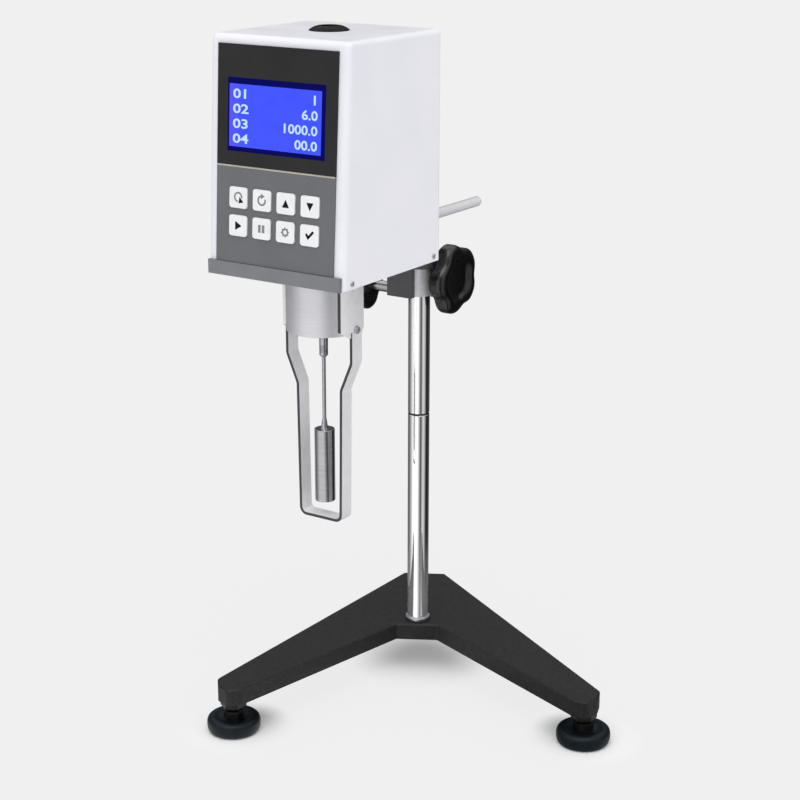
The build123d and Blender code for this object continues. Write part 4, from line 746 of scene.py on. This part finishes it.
# Cards round the part, as (degrees round from the camera, brightness): a wide bright one on the left, a
# narrow one on the right, and black flags between and behind.
cards = [(-180, 0.10), (-108, 0.14), (-77, 0.56), (-60, 1.0), (-12, 1.0), (6, 0.42), (19, 0.08), (26, 0.08),
         (45, 0.60), (63, 0.45), (83, 0.03), (97, 0.01), (115, 0.03), (180, 0.10)]


def mirroredRoom(tree, where, middle):
    # brightness by direction: the angle of (x, y) about the middle, as a share of a turn, read off the cards
    direction = addNode(tree, "ShaderNodeMapping", {"Location": middle}, {"Vector": where})
    direction = addNode(tree, "ShaderNodeMapping", {"Rotation": (0, 0, math.radians(room["cardTurn"]))},
                        {"Vector": direction.outputs["Vector"]})
    angle = addNode(tree, "ShaderNodeTexGradient", None, {"Vector": direction.outputs["Vector"]},
                    gradient_type="RADIAL")
    ramp = addNode(tree, "ShaderNodeValToRGB", None, {"Fac": angle.outputs["Fac"]})
    stops = ramp.color_ramp.elements
    for degrees, level in cards[1:-1]:
        stops.new(degrees / 360 + 0.5).color = (level, level, level, 1)
    stops[0].color = (cards[0][1],) * 3 + (1,)
    stops[len(stops) - 1].color = (cards[-1][1],) * 3 + (1,)
    return ramp.outputs["Color"]


floorMesh = bpy.data.meshes.new("floor")
reach = room["reach"]
floorMesh.from_pydata([(x, y, 0) for x, y in rectangle(-reach, -reach, reach, reach)], [], [(0, 1, 2, 3)])
floor = bpy.data.objects.new("floor", floorMesh)
bpy.context.scene.collection.objects.link(floor)
floorPaper, tree, shader = newMaterial("backdrop paper", IOR=1.45, Specular_IOR_Level=0.1, Roughness=0.9,
                                       Base_Color=linearColour(room["floor"]))
rays = addNode(tree, "ShaderNodeLightPath")
where = addNode(tree, "ShaderNodeTexCoord").outputs["Object"]
evenness = None
for node, dx, dy, inner, outer, level in shade["spots"]:
    x, y = centre(node)[:2]
    gap = addNode(tree, "ShaderNodeVectorMath", {1: ((x + dx) * mm, (y + dy) * mm, 0)}, {0: where},
                  operation="DISTANCE")
    part = addNode(tree, "ShaderNodeMapRange",
                   {"From Min": inner * mm, "From Max": outer * mm, "To Min": level, "To Max": shade["open"]},
                   {"Value": gap.outputs["Value"]}, interpolation_type="SMOOTHSTEP").outputs["Result"]
    if evenness is not None:
        part = addNode(tree, "ShaderNodeMath", None, {0: evenness, 1: part}, operation="MINIMUM").outputs[0]
    evenness = part
even = addNode(tree, "ShaderNodeMath", None, {0: rays.outputs["Is Camera Ray"], 1: evenness},
               operation="MULTIPLY")
glow = addNode(tree, "ShaderNodeEmission", {"Color": linearColour(room["shown"])})
paper = addNode(tree, "ShaderNodeMixShader", None,
                {0: even.outputs[0], 1: shader.outputs[0], 2: glow.outputs[0]})
mirrored = addNode(tree, "ShaderNodeEmission", {"Strength": room["cardLight"]},
                   {"Color": mirroredRoom(tree, where, (-columnX * mm, -columnY * mm, 0))})
paper = addNode(tree, "ShaderNodeMixShader", None,
                {0: rays.outputs["Is Glossy Ray"], 1: paper.outputs[0], 2: mirrored.outputs[0]})
tree.links.new(paper.outputs[0], tree.nodes["Material Output"].inputs["Surface"])
floorMesh.materials.append(floorPaper)

world = bpy.data.worlds.new("studio")
bpy.context.scene.world = world
world.use_nodes = True
tree = world.node_tree
plain = tree.nodes["Background"]
plain.inputs["Color"].default_value = linearColour("#FFFFFF")
plain.inputs["Strength"].default_value = room["skyLight"]
where = addNode(tree, "ShaderNodeTexCoord").outputs["Generated"]
height = addNode(tree, "ShaderNodeSeparateXYZ", None, {"Vector": where}).outputs["Z"]
overhead = addNode(tree, "ShaderNodeMapRange",
                   {"From Min": room["skyEdge"][0], "From Max": room["skyEdge"][1]},
                   {"Value": height}).outputs["Result"]
sky = addNode(tree, "ShaderNodeMixRGB", {"Color2": linearColour("#FFFFFF")},
              {"Fac": overhead, "Color1": mirroredRoom(tree, where, (0, 0, 0))})
mirrored = addNode(tree, "ShaderNodeBackground", {"Strength": room["cardLight"]},
                   {"Color": sky.outputs["Color"]})
shown = addNode(tree, "ShaderNodeBackground", {"Color": linearColour(room["shown"])})
rays = addNode(tree, "ShaderNodeLightPath")
light = addNode(tree, "ShaderNodeMixShader", None,
                {0: rays.outputs["Is Glossy Ray"], 1: plain.outputs[0], 2: mirrored.outputs[0]})
light = addNode(tree, "ShaderNodeMixShader", None,
                {0: rays.outputs["Is Camera Ray"], 1: light.outputs[0], 2: shown.outputs[0]})
tree.links.new(light.outputs[0], tree.nodes["World Output"].inputs["Surface"])


def addSun(name, strength, angle, turn, tilt):
    # turn: degrees anticlockwise from the front, seen from above; tilt: degrees from straight down
    lamp = bpy.data.lights.new(name, "SUN")
    lamp.energy, lamp.angle = strength, math.radians(angle)
    sun = bpy.data.objects.new(name, lamp)
    sun.matrix_world = (Matrix.Rotation(math.radians(turn), 4, "Z")
                        @ Matrix.Rotation(math.radians(tilt), 4, "X"))
    bpy.context.scene.collection.objects.link(sun)


addSun("key light", strength=1.34, angle=50, turn=20, tilt=24)
addSun("side light", strength=0.17, angle=60, turn=95, tilt=60)

view = {"place": (653.1, -1073.1, 631.2), "heading": 33.086, "tilt": 72.788, "roll": 0.148, "lens": 80.35,
        "sensor": 36.0, "shift": -0.00735, "farthest": 100.0}
camera = bpy.data.objects.new("camera", bpy.data.cameras.new("camera"))
camera.data.lens, camera.data.sensor_width = view["lens"], view["sensor"]
camera.data.shift_x, camera.data.clip_end = view["shift"], view["farthest"]
camera.matrix_world = (Matrix.Translation([v * mm for v in view["place"]])
                       @ Matrix.Rotation(math.radians(view["heading"]), 4, "Z")
                       @ Matrix.Rotation(math.radians(view["tilt"]), 4, "X")
                       @ Matrix.Rotation(math.radians(view["roll"]), 4, "Z"))
bpy.context.scene.collection.objects.link(camera)
bpy.context.scene.camera = camera
bpy.context.scene.view_settings.view_transform = "Standard"
print("room, light and camera ready")
